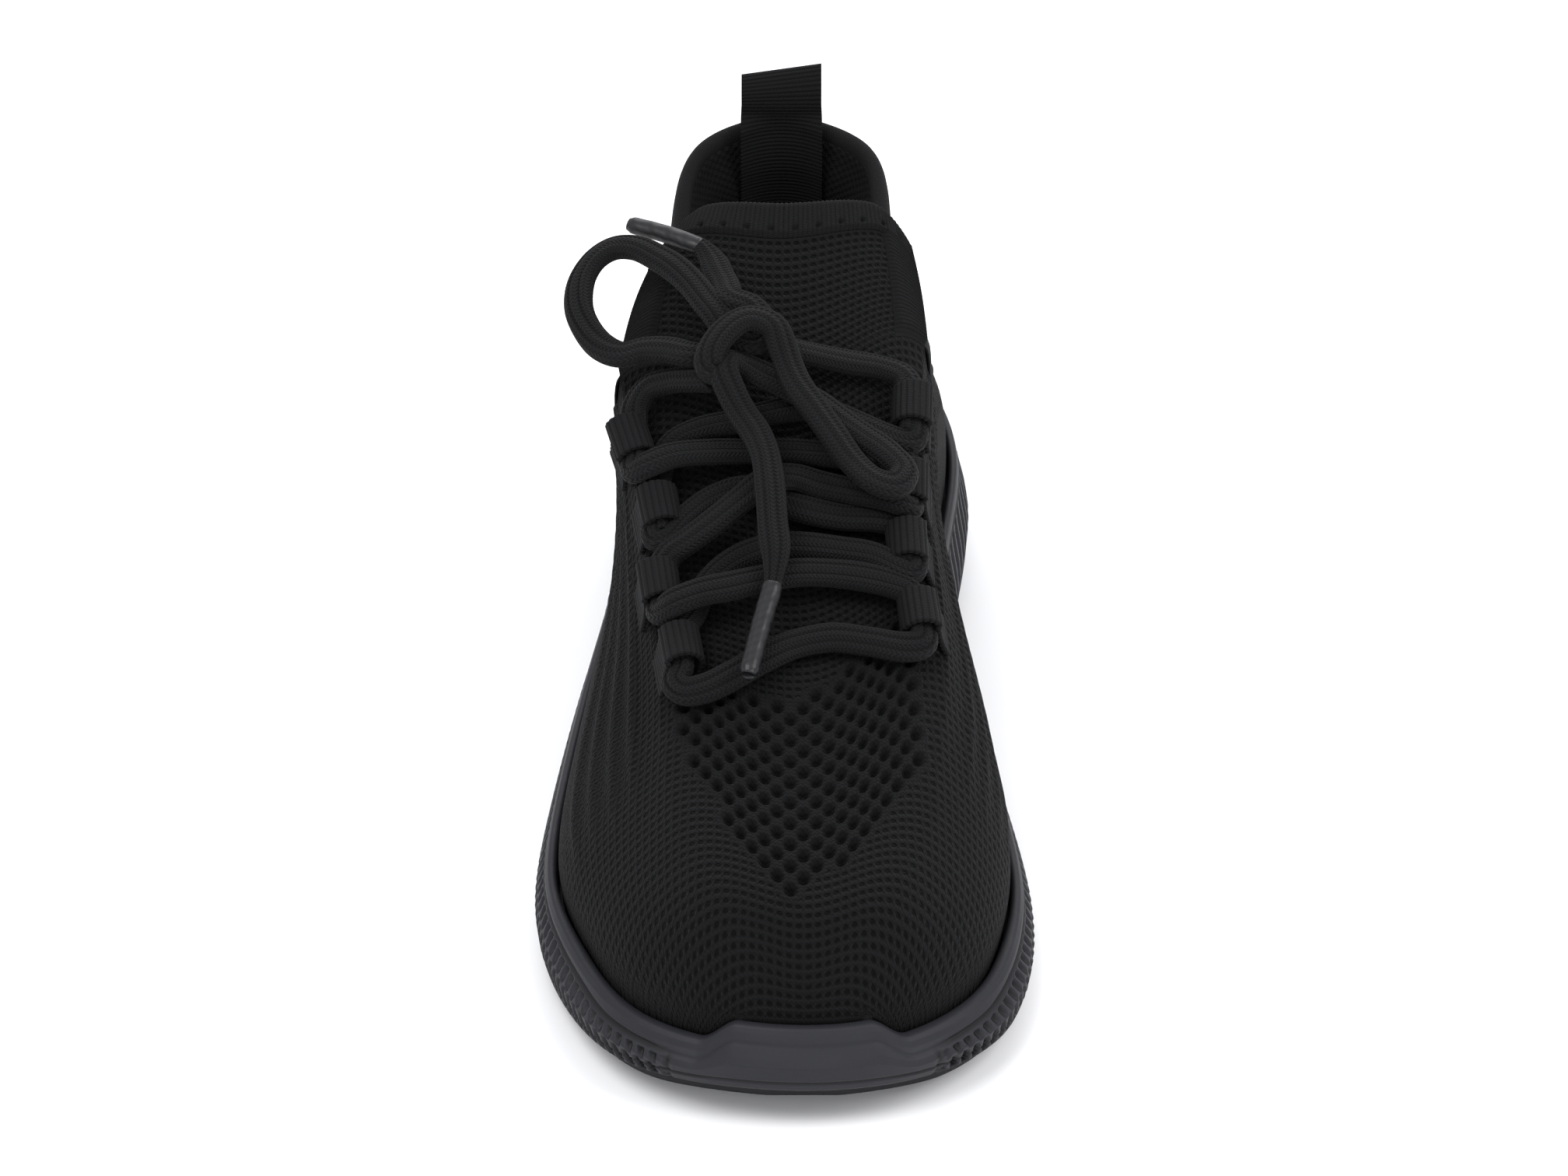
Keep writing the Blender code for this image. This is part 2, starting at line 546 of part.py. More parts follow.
def make_knit():
    knit = material("knit", (0.018, 0.018, 0.020), 0.85)
    grids, flips = [], []
    for side, flip in SIDES:
        rows = front_rows()
        front = front_surface(rows, side, FLANK, TOP)
        grids += [with_skirt(front, front_numbers(side, rows)), toe_skirt(side)]
        flips += [flip, flip]
        tongue = np.linspace(0, BAND_FROM, TONGUE_STEPS)
        grids.append(tongue_surface(tongue, side, TOP[1:]))
        flips.append(flip)
        rows = np.linspace(0, 1, REAR_STEPS + 1)
        rear = rear_surface(rows, side, FLANK)[:-1]
        grids.append(with_skirt(rear, rear_numbers(side, rows)))
        flips.append(flip)
    skin("knit_upper", grids, flips, knit, 0, KNIT_THICK)


def rear_layer(name, look, first_row, flank_s, depth, thick):
    rows = np.linspace(0, 1, REAR_STEPS + 1)[first_row:]
    grids = [rear_surface(rows, side, flank_s) for side, flip in SIDES]
    return skin(name, grids, [flip for side, flip in SIDES], look, depth, thick)


def make_layers():
    board = material("stiffener", (0.30, 0.29, 0.27), 0.8)
    foam = material("collar_foam", (0.05, 0.05, 0.055), 0.95)
    lining = material("lining", (0.020, 0.020, 0.022), 0.9)
    grids = []
    for side, flip in SIDES:
        grids.append(front_surface(front_rows(), side, FLANK, TOP)[1:, 1:8])
    skin("toe_puff", grids, [flip for side, flip in SIDES], board, KNIT_THICK + GAP, 0.7)
    rear_layer("heel_counter", board, 7, FLANK[1:5], KNIT_THICK + GAP, 1.0)
    rear_layer("collar_foam", foam, 5, FLANK[3:6] - 0.015, 3.4, 3.0)
    rear_layer("heel_lining", lining, 5, FLANK[1:6] - 0.015, 6.7, 0.8)


def section_round(low, middle, top, normal, thick):
    """Eight points round a rolled edge of the given thickness."""
    up = unit(top - low)
    return [low + normal * 0.3, middle + normal * 0.8, top - normal * 0.4 - up * 0.6,
            top - normal * thick * 0.32 + up * 0.5, top - normal * thick * 0.68 + up * 0.5,
            top - normal * (thick - 0.4) - up * 0.6, middle - normal * (thick + 0.3),
            low - normal * thick]


def make_collar():
    """The rolled band along the collar, from one notch round the heel to the other."""
    knit = material("collar_knit", (0.020, 0.020, 0.022), 0.85)
    rows = np.linspace(0.16, 1, 14)
    rings = []
    for side, flip in SIDES:
        grid = rear_surface(rows, side, np.array([COLLAR_FROM + 0.012, 0.94, 1.0]))
        sections = []
        for j, row in enumerate(rows):
            normal = -inward_at(rear_numbers(side, np.array([row])))[0]
            thick = 3.0 + 5.4 * step((row - 0.16) / 0.25)
            sections.append(section_round(grid[0, j], grid[1, j], grid[2, j], normal, thick))
        rings += sections if side < 0 else sections[::-1][1:]
    count = len(rings[0])
    points = [p for ring in rings for p in ring]
    faces = [list(range(count)), [len(points) - count + i for i in range(count)]]
    for k in range(len(rings) - 1):
        for i in range(count):
            j = (i + 1) % count
            faces.append([k * count + i, k * count + j, (k + 1) * count + j, (k + 1) * count + i])
    mesh_from("collar_binding", points, faces, knit)


def make_tongue_band():
    """The ribbed band up both edges of the tongue and over its top."""
    rib = material("rib_band", (0.022, 0.022, 0.024), 0.85)
    grids, flips = [], []
    edge_s = np.array([0, BAND_SHARE - 0.035])
    for side, flip in SIDES:
        rows = np.concatenate([np.linspace(0.09, BAND_FROM + 0.02, 5), [0.91, 1.0]])
        grids.append(tongue_surface(rows, side, edge_s))
        grids.append(tongue_surface(rows[-3:], side, np.concatenate([edge_s[1:], TOP[2:]])))
        flips += [flip, flip]
    skin("tongue_band", grids, flips, rib, -0.7, 2.5)


# ---- lacing -------------------------------------------------------------------------------

def along(points):
    """Points on a smooth curve through a route."""
    return spline(points, np.arange(len(points)))


def make_lace():
    braid = material("lace_braid", (0.020, 0.020, 0.022), 0.8)
    tip = material("aglet_film", (0.10, 0.10, 0.105), 0.2)
    tube("lace_crossings", along(LACE_RUN), braid, LACE_RADIUS)
    tube("lace_bow_outer", along(BOW_OUT), braid, LACE_RADIUS)
    tube("lace_bow_inner", along(BOW_IN), braid, LACE_RADIUS)
    tube("lace_end_outer", along(END_OUT), braid, LACE_RADIUS)
    tube("lace_end_inner", along(END_IN), braid, LACE_RADIUS)
    tube("aglet_outer", along(AGLET_OUT), tip, AGLET_RADIUS)
    tube("aglet_inner", along(AGLET_IN), tip, AGLET_RADIUS)
    bpy.ops.mesh.primitive_uv_sphere_add(segments=16, ring_count=8, radius=1)
    knot = bpy.context.object
    knot.name = "lace_knot"
    for collection in list(knot.users_collection):
        collection.objects.unlink(knot)
    PARTS.objects.link(knot)
    knot.scale = np.array(KNOT_HALF) * MM
    knot.rotation_euler = (math.radians(KNOT_TURN), 0, 0)
    knot.location = np.array(KNOT_CENTRE) * MM
    knot.data.materials.append(braid)
    knot.data.shade_smooth()


def two_round(radius, end_radius, length, steps=9):
    """Outline of a round at the origin and a smaller one at (length, 0), joined by straight legs."""
    turn = math.acos((radius - end_radius) / length)
    shape = [(length, 0.0)]
    if end_radius:
        small = np.linspace(-turn, turn, steps)
        shape = [(length + end_radius * math.cos(t), end_radius * math.sin(t)) for t in small]
    big = np.linspace(turn, 2 * math.pi - turn, 2 * steps)
    return shape + [(radius * math.cos(t), radius * math.sin(t)) for t in big]


def ground(side, place):
    """The vamp's surface point nearest to a place, and the surface's outward normal there."""
    grid = front_surface(np.linspace(0.3, 1, 71), side, np.linspace(0.6, 1, 21), np.linspace(0, 0.5, 11))
    away = np.linalg.norm(grid - np.array(place), axis=2)[1:-1, 1:-1]
    i, j = np.unravel_index(away.argmin(), away.shape)
    normal = np.cross(grid[i + 2, j + 1] - grid[i, j + 1], grid[i + 1, j + 2] - grid[i + 1, j])
    return grid[i + 1, j + 1], normal / np.linalg.norm(normal) * math.copysign(1, normal[2])


def make_loops():
    web = material("webbing", (0.025, 0.025, 0.027), 0.75)
    for side, word, places in ((-1, "outer", LOOPS_OUT), (1, "inner", LOOPS_IN)):
        for number, place in enumerate(places):
            ahead = np.array(places[min(number + 1, 3)]) - np.array(places[max(number - 1, 0)])
            foot, normal = ground(side, place)
            height = (np.array(place) - foot) @ normal
            radius = min(LOOP_ROUND, height - 0.4)
            ahead = unit(ahead - normal * (ahead @ normal))
            outward = np.cross(ahead, normal)
            outward *= math.copysign(1, outward[0] * side)
            dip = math.asin(min(0.9, (height - 0.9) / LOOP_REACH))
            axis = outward * math.cos(dip) - normal * math.sin(dip)
            inner = (radius - WEB_THICK) / radius
            loop = band_outline(f"lace_loop_{word}_{number + 1}", two_round(radius, 0.45, LOOP_REACH),
                                two_round(radius * inner, 0, (LOOP_REACH + 0.5) * inner), LOOP_WIDTH / 2, web)
            loop.matrix_world = matrix_of(axis, np.cross(ahead, axis), ahead, place)


def matrix_of(x, y, z, place):
    matrix = np.eye(4)
    matrix[:3, 0], matrix[:3, 1], matrix[:3, 2] = x, y, z
    matrix[:3, 3] = np.array(place) * MM
    return Matrix([list(map(float, row)) for row in matrix])


def make_tab():
    web = material("tab_webbing", (0.025, 0.025, 0.027), 0.75)
    reach = TAB_TALL - TAB_BULB
    inner = (TAB_BULB - TAB_THICK) / TAB_BULB
    tab = band_outline("pull_tab", two_round(TAB_BULB, TAB_BASE, reach),
                       two_round(TAB_BULB - TAB_THICK, 0, reach * inner), TAB_WIDTH / 2, web)
    pivot = bpy.data.objects.new("pull_tab_pivot", None)
    PARTS.objects.link(pivot)
    pivot.location = np.array(TAB_AXIS) * MM
    tab.parent = pivot
    tab.matrix_basis = matrix_of((0, 0, -1), (0, 1, 0), (1, 0, 0), (0, 0, reach))
    side = np.linspace(-TAB_WIDTH / 2, TAB_WIDTH / 2, 7)
    bow = TAB_LEG_BOW * (side / (TAB_WIDTH / 2))**2
    grid = np.array([[(x + TAB_AXIS[0], y - dip, z) for y, z in TAB_LEG] for x, dip in zip(side, bow)])
    skin("pull_tab_leg", [grid], [False], web, 0, 1.1)


# ---- build --------------------------------------------------------------------------------

for old in list(bpy.data.objects):
    bpy.data.objects.remove(old, do_unlink=True)
PARTS = bpy.data.collections.new("running_shoe")
bpy.context.scene.collection.children.link(PARTS)

make_sole()
make_knit()
make_layers()
make_collar()
make_tongue_band()
make_lace()
make_loops()
make_tab()
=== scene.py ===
"""Looks for the knitted running shoe: detailed upper, laces, webbing, sole and procedural materials
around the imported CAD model. Tables are in millimetres; objects are in metres."""

import math

import bpy
import numpy as np
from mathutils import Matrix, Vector


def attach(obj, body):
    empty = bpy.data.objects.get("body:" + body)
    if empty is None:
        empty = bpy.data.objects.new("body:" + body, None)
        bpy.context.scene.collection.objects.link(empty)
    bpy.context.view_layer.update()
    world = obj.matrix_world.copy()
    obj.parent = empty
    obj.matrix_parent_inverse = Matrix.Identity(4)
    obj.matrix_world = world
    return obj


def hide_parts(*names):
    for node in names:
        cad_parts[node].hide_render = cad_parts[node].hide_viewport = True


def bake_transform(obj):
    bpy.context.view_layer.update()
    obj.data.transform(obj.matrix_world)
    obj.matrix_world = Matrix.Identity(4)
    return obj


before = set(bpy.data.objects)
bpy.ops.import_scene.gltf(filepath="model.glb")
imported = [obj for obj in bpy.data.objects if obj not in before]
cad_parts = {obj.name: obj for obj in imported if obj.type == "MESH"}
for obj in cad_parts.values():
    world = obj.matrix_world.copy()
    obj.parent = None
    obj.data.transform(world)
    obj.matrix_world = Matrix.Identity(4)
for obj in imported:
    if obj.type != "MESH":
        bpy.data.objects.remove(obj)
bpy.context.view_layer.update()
MM = 0.001
SIDES = (-1, 1)         # the outer side, then the inner side

# ---- tables shared with the CAD model ------------------------------------------------------

SOLE_PLAN = [
    (4, -146), (-20, -141), (-38, -127), (-49, -103), (-53.5, -76), (-51.5, -42), (-46, 2),
    (-40.5, 42), (-38, 86), (-29.5, 127), (2, 146), (32.5, 125), (43, 84), (39.5, 42),
    (42.5, 0), (50, -48), (53.5, -86), (47.5, -119), (28, -140),
]
PLAN_HEEL = 10
SPRING = [(-146, 6.5), (-128, 3.6), (-100, 0.7), (-80, 0), (112, 0), (130, 1), (146, 4.5)]
RIM = [(-146, 18), (-110, 18.5), (-60, 20.5), (0, 24), (60, 28), (110, 31), (146, 33)]
WALL = [(-146, 6.6), (-112, 6.8), (-76, 4.9), (146, 4.9)]
BED = [(-146, 16), (-110, 13), (-60, 12.5), (0, 16), (60, 20), (146, 22)]
BUMPER_RISE, BUMPER_CENTRE, BUMPER_HALF, BUMPER_FADE = 5.5, 4, 13, 8
KNIT_ROOM = 0.5
ROWS_FRONT = [0, 0.12, 0.26, 0.42, 0.58, 0.72, 0.86, 1]
CENTRE = [(4, -138.5, 25), (4, -132, 40), (4, -117, 47.5), (4, -94, 52), (4, -69, 58), (3, -43, 67.5),
          (1, -18, 79), (0, 6, 92)]
THROAT = {-1: [(-7, -137.5, 25), (-14, -127, 39.5), (-21, -109, 45), (-25, -84, 49),
               (-27, -58, 54.5), (-29, -35, 64), (-32, -10, 76.5), (-36, 14, 90)],
          1: [(15, -137.5, 25), (22, -127, 39.5), (29, -107, 45), (33, -80, 50.5),
              (35, -50, 57.5), (33, -24, 67), (30.5, 0, 79), (31, 26, 91)]}
TOE = {-1: 0.72, 1: len(SOLE_PLAN) - 0.72}
SIDE = {-1: 7.35, 1: 12.65}
TONGUE_CENTRE = [(0, 6, 92), (-0.5, 25, 104), (0, 44, 116)]
TONGUE = {-1: [(-36, 14, 90), (-32, 32, 99.5), (-24, 50, 108)],
          1: [(31, 26, 91), (29.5, 38, 99.5), (26.5, 51, 108)]}
COLLAR = {-1: [(-36, 14, 90), (-34.5, 36, 81), (-31.5, 60, 73), (-28, 84, 72), (-25.5, 105, 79),
               (-20.5, 127, 87.5), (0, 138.5, 90.5)],
          1: [(31, 26, 91), (31.5, 45, 83), (30, 66, 74.5), (26.5, 87, 73), (24, 107, 80),
              (20, 127, 87.5), (0, 138.5, 90.5)]}

LACE_RUN = [
    (-18.6, -3.6, 99.4), (-24.5, 0.6, 96.6), (-29.5, 2.4, 93.8), (-32.4, 0, 90.6),
    (-32.8, -3.6, 88.4), (-32.7, -8, 86.4), (-32.4, -12.6, 84.2), (-32.2, -16.4, 84),
    (-29.4, -18, 86.4), (-24, -16.8, 88), (-15, -14.6, 87.6), (-6, -12.8, 86.6), (3, -12, 86),
    (12, -12.2, 85.2), (20, -12.2, 84.2), (25.2, -11.4, 83.6), (27.3, -13.4, 82.4),
    (27.3, -18, 80.2), (27.2, -22.2, 79), (26.8, -24.6, 79.9), (23.4, -25, 81.9),
    (16, -22.8, 82.2), (8, -20.8, 83), (2, -20.6, 84.8), (-3.5, -23.8, 85.8), (-9, -28.6, 84),
    (-15, -32.4, 80.6), (-20.5, -34.4, 77), (-24.4, -34.8, 74), (-26, -36.8, 72),
    (-26.2, -40.5, 70.3), (-26.6, -44.8, 67.8), (-26.4, -48.6, 67.9), (-23, -51, 71.8),
    (-17.5, -49.8, 73.4), (-11.5, -48.8, 74.2), (-5, -46.6, 74.6), (2, -44, 74.6),
    (9, -42.6, 73.8), (17, -42, 72.4), (23.5, -42.5, 70.8), (27, -43.8, 69.4),
    (28.7, -48, 67.4), (29.8, -52.5, 65.4), (29.4, -56, 64.2), (25.5, -57.4, 64.2),
    (18, -56.8, 65.2), (10, -56.2, 65.8), (2, -58.4, 65.4), (-4.5, -62.6, 64.6),
    (-10.5, -66.6, 63), (-16.5, -68.2, 60.6), (-21, -67.4, 59.4), (-23.2, -64.8, 60),
    (-22.3, -61.6, 61.5), (-22.5, -57.5, 63.5), (-22.2, -53, 65.2), (-20.2, -48.4, 66),
    (-18, -44, 69), (-13.5, -39, 72.2), (-8, -36, 74.4), (-2, -34.2, 75.3), (5, -33.9, 75.2),
    (12, -34.4, 74.6), (19, -35.8, 74), (24.2, -38.2, 72.8), (27.2, -38.2, 71.8),
    (27.9, -35.2, 72.8), (27.3, -32, 74.2), (26.6, -28.4, 75.8), (24.4, -26.2, 76.2),
    (20, -25.8, 77.4), (12, -26, 78), (5, -25.2, 79.2), (-2, -23, 80.4), (-8, -20.8, 81.8),
    (-15, -22.3, 80.6), (-21, -26.2, 77.8), (-25.2, -30, 75.2), (-27.5, -29.8, 75),
    (-27.8, -27, 76.6), (-27.6, -22.8, 78.7), (-27.6, -19.2, 80.1), (-27.4, -15.4, 80.9),
    (-26.4, -11.2, 83.2), (-23.5, -8, 86.4), (-18, -6.9, 88.8), (-11, -6, 90), (-4, -4, 91),
    (3, -2.4, 91.5), (9.5, -2.8, 90.8), (16, -4.8, 89), (22, -7, 87.4), (26, -7.6, 86.3),
    (28, -6.4, 86.2), (28.2, -3.4, 87.5), (27.9, 0.5, 89.6), (27.5, 4.6, 91.6), (26, 8.2, 93.4),
    (21, 9.6, 95), (14, 8.4, 97), (7, 7, 99.4), (1.6, 5.4, 101.6),
]
BOW_OUT = [
    (-20.4, 0.4, 103.4), (-25, 3, 103), (-30.3, 4.8, 102), (-35.3, 4.8, 100.8),
    (-39.6, 7.8, 101), (-43, 12.7, 102.6), (-45, 18.4, 105.1), (-44.4, 24.7, 108.5),
    (-41.4, 29, 111.4), (-37.3, 30.7, 113.2), (-32.5, 29.5, 113.9), (-27.8, 26.1, 113.4),
    (-23.9, 22.6, 112.6), (-20.1, 18, 111.2), (-17, 13, 109.6), (-14.8, 9.6, 108.4),
]
BOW_IN = [
    (0, -2.2, 105.6), (1.2, -5, 103.2), (3.2, -9.2, 100.6), (6.8, -13.8, 97.6), (10.4, -18.4, 94.4),
    (14.6, -23.4, 90.4), (19.6, -28.2, 88.2), (23.8, -28.6, 87.4), (25.8, -24.4, 88.2),
    (22.5, -19.8, 90.2), (17.5, -15.8, 92), (12.1, -11.4, 93.8), (7.1, -7.6, 95.8),
    (1.8, -4.6, 97.6),
]
END_OUT = [(-11.6, 13, 110.2), (-12.8, 18, 110.6), (-14.2, 22.6, 111), (-15.8, 27.4, 112),
           (-18.4, 31, 113.4)]
AGLET_OUT = [(-20.6, 32.2, 113.7), (-26.4, 36, 114), (-34.2, 40.4, 114)]
END_IN = [(-13, -6.6, 103), (-11.4, -10, 99.8), (-9, -13.4, 96.4), (-6, -18, 94),
          (-4, -24, 92), (-3, -31.6, 88.6), (-2.4, -39.6, 84), (-1.8, -46, 80.4),
          (-2.4, -51.8, 76.6)]
AGLET_IN = [(-2.6, -52.8, 76), (-4.8, -61, 72.2), (-7.6, -73, 66.8)]
LOOPS = {-1: [(-22.5, -57.5, 63.5), (-26.2, -40.5, 70.3), (-27.6, -22.8, 78.7), (-32.7, -8, 86.4)],
         1: [(28.7, -48, 67.4), (27.3, -32, 74.2), (27.3, -18, 80.2), (27.9, 0.5, 89.6)]}
TAB_X = -0.6

# How the lace runs inside the knot: a turn behind, the wrap over the front, the tucked ends.
KNOT_TURN = [(-11.5, 5.2, 105.6), (-6.5, 3.5, 104.5), (-4.5, 7, 106.5), (-7, 11, 109)]
KNOT_PASS = [(-3.5, 5.2, 103), (-9.5, 3.4, 102.6), (-15, 1, 102.6)]
KNOT_WRAP = [(-14.6, -5.6, 100.6), (-16.4, -5.6, 104.6), (-13.6, -1.4, 109),
             (-8, 2, 111.4), (-2.6, 1.4, 110)]
KNOT_TUCK = [(-3.4, -3, 99.6), (-8.4, -1.6, 101.6), (-12.4, -3.2, 103.6)]


# ---- curves and the shoe's surfaces, as in the CAD model -------------------------------------

HANDLE, FLANK_HANDLE = 0.36, 0.32       # Bezier handles, as shares of the curve's span
LEAN_ROWS = [0, 0.12, 0.4, 0.7, 1]
THROAT_ACROSS = [[67.0, 12.0, 0]]


def spline(points, at):
    """A natural cubic spline; `at` counts from point to point."""
    p = np.array(points, float)
    count = len(p)
    matrix = np.eye(count) * 4
    for i in range(count - 1):
        matrix[i, i + 1] = matrix[i + 1, i] = 1
    matrix[0, :2] = 1, 0
    matrix[-1, -2:] = 0, 1
    right = np.zeros_like(p)
    right[1:-1] = 6 * (p[2:] - 2 * p[1:-1] + p[:-2])
    second = np.linalg.solve(matrix, right)
    return cubic(p, second, np.clip(at, 0, count - 1))


def loop_spline(points, at):
    """A closed cubic spline; `at` counts from point to point."""
    p = np.array(points, float)
    count = len(p)
    matrix = np.eye(count) * 4
    for i in range(count):
        matrix[i, (i + 1) % count] += 1
        matrix[i, i - 1] += 1
    right = 6 * (np.roll(p, -1, 0) - 2 * p + np.roll(p, 1, 0))
    second = np.linalg.solve(matrix, right)
    return cubic(np.vstack([p, p[:1]]), np.vstack([second, second[:1]]), np.mod(at, count))


def cubic(p, second, at):
    at = np.asarray(at, float)
    i = np.clip(at.astype(int), 0, len(p) - 2)
    f = (at - i)[..., None] if p.ndim > 1 else at - i
    g = 1 - f
    return g * p[i] + f * p[i + 1] + ((g**3 - g) * second[i] + (f**3 - f) * second[i + 1]) / 6


def level(stations, y):
    """A smooth height between stations (y, height), with no overshoot."""
    ys = np.array([s[0] for s in stations], float)
    number = np.interp(y, ys, np.arange(len(ys)))
    i = np.clip(number.astype(int), 0, len(ys) - 2)
    h = ys[i + 1] - ys[i]
    f = np.clip((y - ys[i]) / h, 0, 1)
    z = np.array([s[1] for s in stations], float)
    rise = np.diff(z) / np.diff(ys)
    before, after = rise[:-1], rise[1:]
    same = before * after > 0
    inside = np.where(same, 2 * before * after / np.where(same, before + after, 1), 0)
    slope = np.concatenate([rise[:1], inside, rise[-1:]])
    return ((1 + 2 * f) * (1 - f)**2 * z[i] + f * (1 - f)**2 * h * slope[i]
            + f * f * (3 - 2 * f) * z[i + 1] + f * f * (f - 1) * h * slope[i + 1])


def step(x):
    x = np.clip(x, 0, 1)
    return x * x * (3 - 2 * x)


def plan(at, inset=0.0):
    """The sole's outline from above, moved inwards by the inset."""
    here = loop_spline(SOLE_PLAN, at)
    ahead = loop_spline(SOLE_PLAN, at + 0.01) - loop_spline(SOLE_PLAN, at - 0.01)
    ahead /= np.linalg.norm(ahead, axis=-1, keepdims=True)
    inward = np.stack([-ahead[..., 1], ahead[..., 0]], -1)
    return here - inward * inset


def wall(at, more=0.0):
    """The inner edge of the sole's wall."""
    return plan(at, (level(WALL, plan(at)[..., 1]) + more)[..., None])


def rim_height(xy):
    bumper = 1 - step((abs(xy[..., 0] - BUMPER_CENTRE) - BUMPER_HALF) / BUMPER_FADE)
    front = step((-xy[..., 1] - 100) / 20)
    return level(RIM, xy[..., 1]) + BUMPER_RISE * bumper * front


def bezier(a, b, c, d, s):
    s = s[:, None, None]
    return (1 - s)**3 * a + 3 * s * (1 - s)**2 * b + 3 * s * s * (1 - s) * c + s**3 * d


def unit(v):
    """Vectors scaled to length 1."""
    return v / np.maximum(np.linalg.norm(v, axis=-1, keepdims=True), 1e-9)


def feather(at):
    """The line where the knit drops into the sole."""
    return np.column_stack([wall(at, KNIT_ROOM), rim_height(wall(at))])


def inward_at(at):
    normal = np.zeros((len(at), 3))
    normal[:, :2] = unit(plan(at, 1.0) - plan(at))
    return normal


def flank(at, edge, across, lean, bulge, s):
    """The surface from the sole's edge up to an edge line, leaning in at its top."""
    start = feather(at)
    tall = np.linalg.norm(edge - start, axis=1, keepdims=True)
    first = start + np.array([0, 0, 1.0]) * tall * FLANK_HANDLE - inward_at(at) * bulge[:, None]
    return bezier(start, first, edge - leaning(across, lean) * tall * HANDLE, edge, s)


def leaning(across, degrees):
    lean = np.radians(degrees)[:, None]
    return across * np.cos(lean) + np.array([0, 0, 1.0]) * np.sin(lean)


def over_foot(edge, other, centre, degrees, s):
    """The surface from one edge line up to the middle line."""
    across = unit((other - edge) * np.array([1, 1, 0]))
    tangent = leaning(across, degrees)
    wide = np.linalg.norm(centre - edge, axis=1, keepdims=True)
    return bezier(edge, edge + tangent * wide * HANDLE, centre - across * wide * HANDLE, centre, s)


def raw_front(row, side, flank_s, top_s):
    """One side of the vamp, before its toe end is drawn to the sole's edge."""
    number = np.interp(row, ROWS_FRONT, np.arange(len(ROWS_FRONT)))
    edge, other = spline(THROAT[side], number), spline(THROAT[-side], number)
    across = unit((other - edge) * np.array([1, 1, 0]))
    lean = np.interp(row, LEAN_ROWS, [20, 30, 40, 66, 82])
    top_lean = np.interp(row, LEAN_ROWS, [20, 28, 30, 38, 50])
    bulge = np.interp(row, [0, 0.1, 0.3, 0.6, 1], [0, 1.5, 2.5, 1.5, -1.0])
    low = flank(TOE[side] + (SIDE[side] - TOE[side]) * row, edge, across, lean, bulge, flank_s)
    high = over_foot(edge, other, spline(CENTRE, number), top_lean, top_s)
    return np.concatenate([low, high[1:]])


def front_surface(row, side, flank_s, top_s):
    """One side of the vamp: up the flank to the throat line, then over to the middle line."""
    share = np.concatenate([flank_s * 0.5, 0.5 + top_s[1:] * 0.5])
    tip = 0.0 if side < 0 else float(len(SOLE_PLAN))
    rim_line = feather(TOE[side] + (tip - TOE[side]) * share)
    first = raw_front(np.zeros(1), side, flank_s, top_s)
    fade = (1 - step(row / 0.14))[None, :, None]
    return raw_front(row, side, flank_s, top_s) + (rim_line[:, None] - first) * fade


def tongue_surface(row, side, top_s):
    edge, other, centre = (spline(line, row * 2) for line in (TONGUE[side], TONGUE[-side], TONGUE_CENTRE))
    return over_foot(edge, other, centre, np.full(len(row), 50.0), top_s)


def quarter_inward(rows, side):
    """The quarter's place on the sole's outline at each row, and the way in towards the foot."""
    at = SIDE[side] + (PLAN_HEEL - SIDE[side]) * rows
    blend = step(rows / 0.2)[:, None]
    start = unit(np.array(THROAT_ACROSS) * -side)
    return at, unit(start * (1 - blend) + inward_at(at) * blend)


def rear_surface(row, side, flank_s):
    """One side of the quarter, from the throat round to the heel's middle."""
    at, across = quarter_inward(row, side)
    lean = np.interp(row, [0, 0.3, 0.7, 1], [82, 82, 84, 88])
    bulge = np.interp(row, [0, 0.3, 0.7, 1], [-1.0, 0.5, 3.5, 6.0])
    return flank(at, spline(COLLAR[side], row * 6), across, lean, bulge, flank_s)


# ---- mesh helpers ----------------------------------------------------------------------------

def grid_normals(grid):
    """Unit normals of a grid [i, j, xyz], from its own differences."""
    a = np.gradient(grid, axis=0)
    b = np.gradient(grid, axis=1)
    return unit(np.cross(a, b))


def arc(grid, axis):
    """Distance along a grid's lines in the given direction, from its first point."""
    d = np.linalg.norm(np.diff(grid, axis=axis), axis=2)
    zero = np.zeros((1, d.shape[1]) if axis == 0 else (d.shape[0], 1))
    return np.cumsum(np.concatenate([zero, d], axis=axis), axis=axis)


def along(points):
    """Distance from a line's first point to each of its points."""
    return np.concatenate([[0], np.cumsum(np.linalg.norm(np.diff(points, axis=0), axis=1))])


def ridges(distance, places, width):
    """Soft ridges of height 1 at the given places."""
    return sum(np.exp(-((distance - place) / width)**2) for place in places)


def ribbon(middle, out, half):
    """A closed flat band round a middle surface: its front, then its back."""
    return np.concatenate([middle + out * half, (middle - out * half)[::-1]])


def both(values):
    """Values for a ribbon's front, repeated for its back."""
    return np.concatenate([values, values[::-1]])


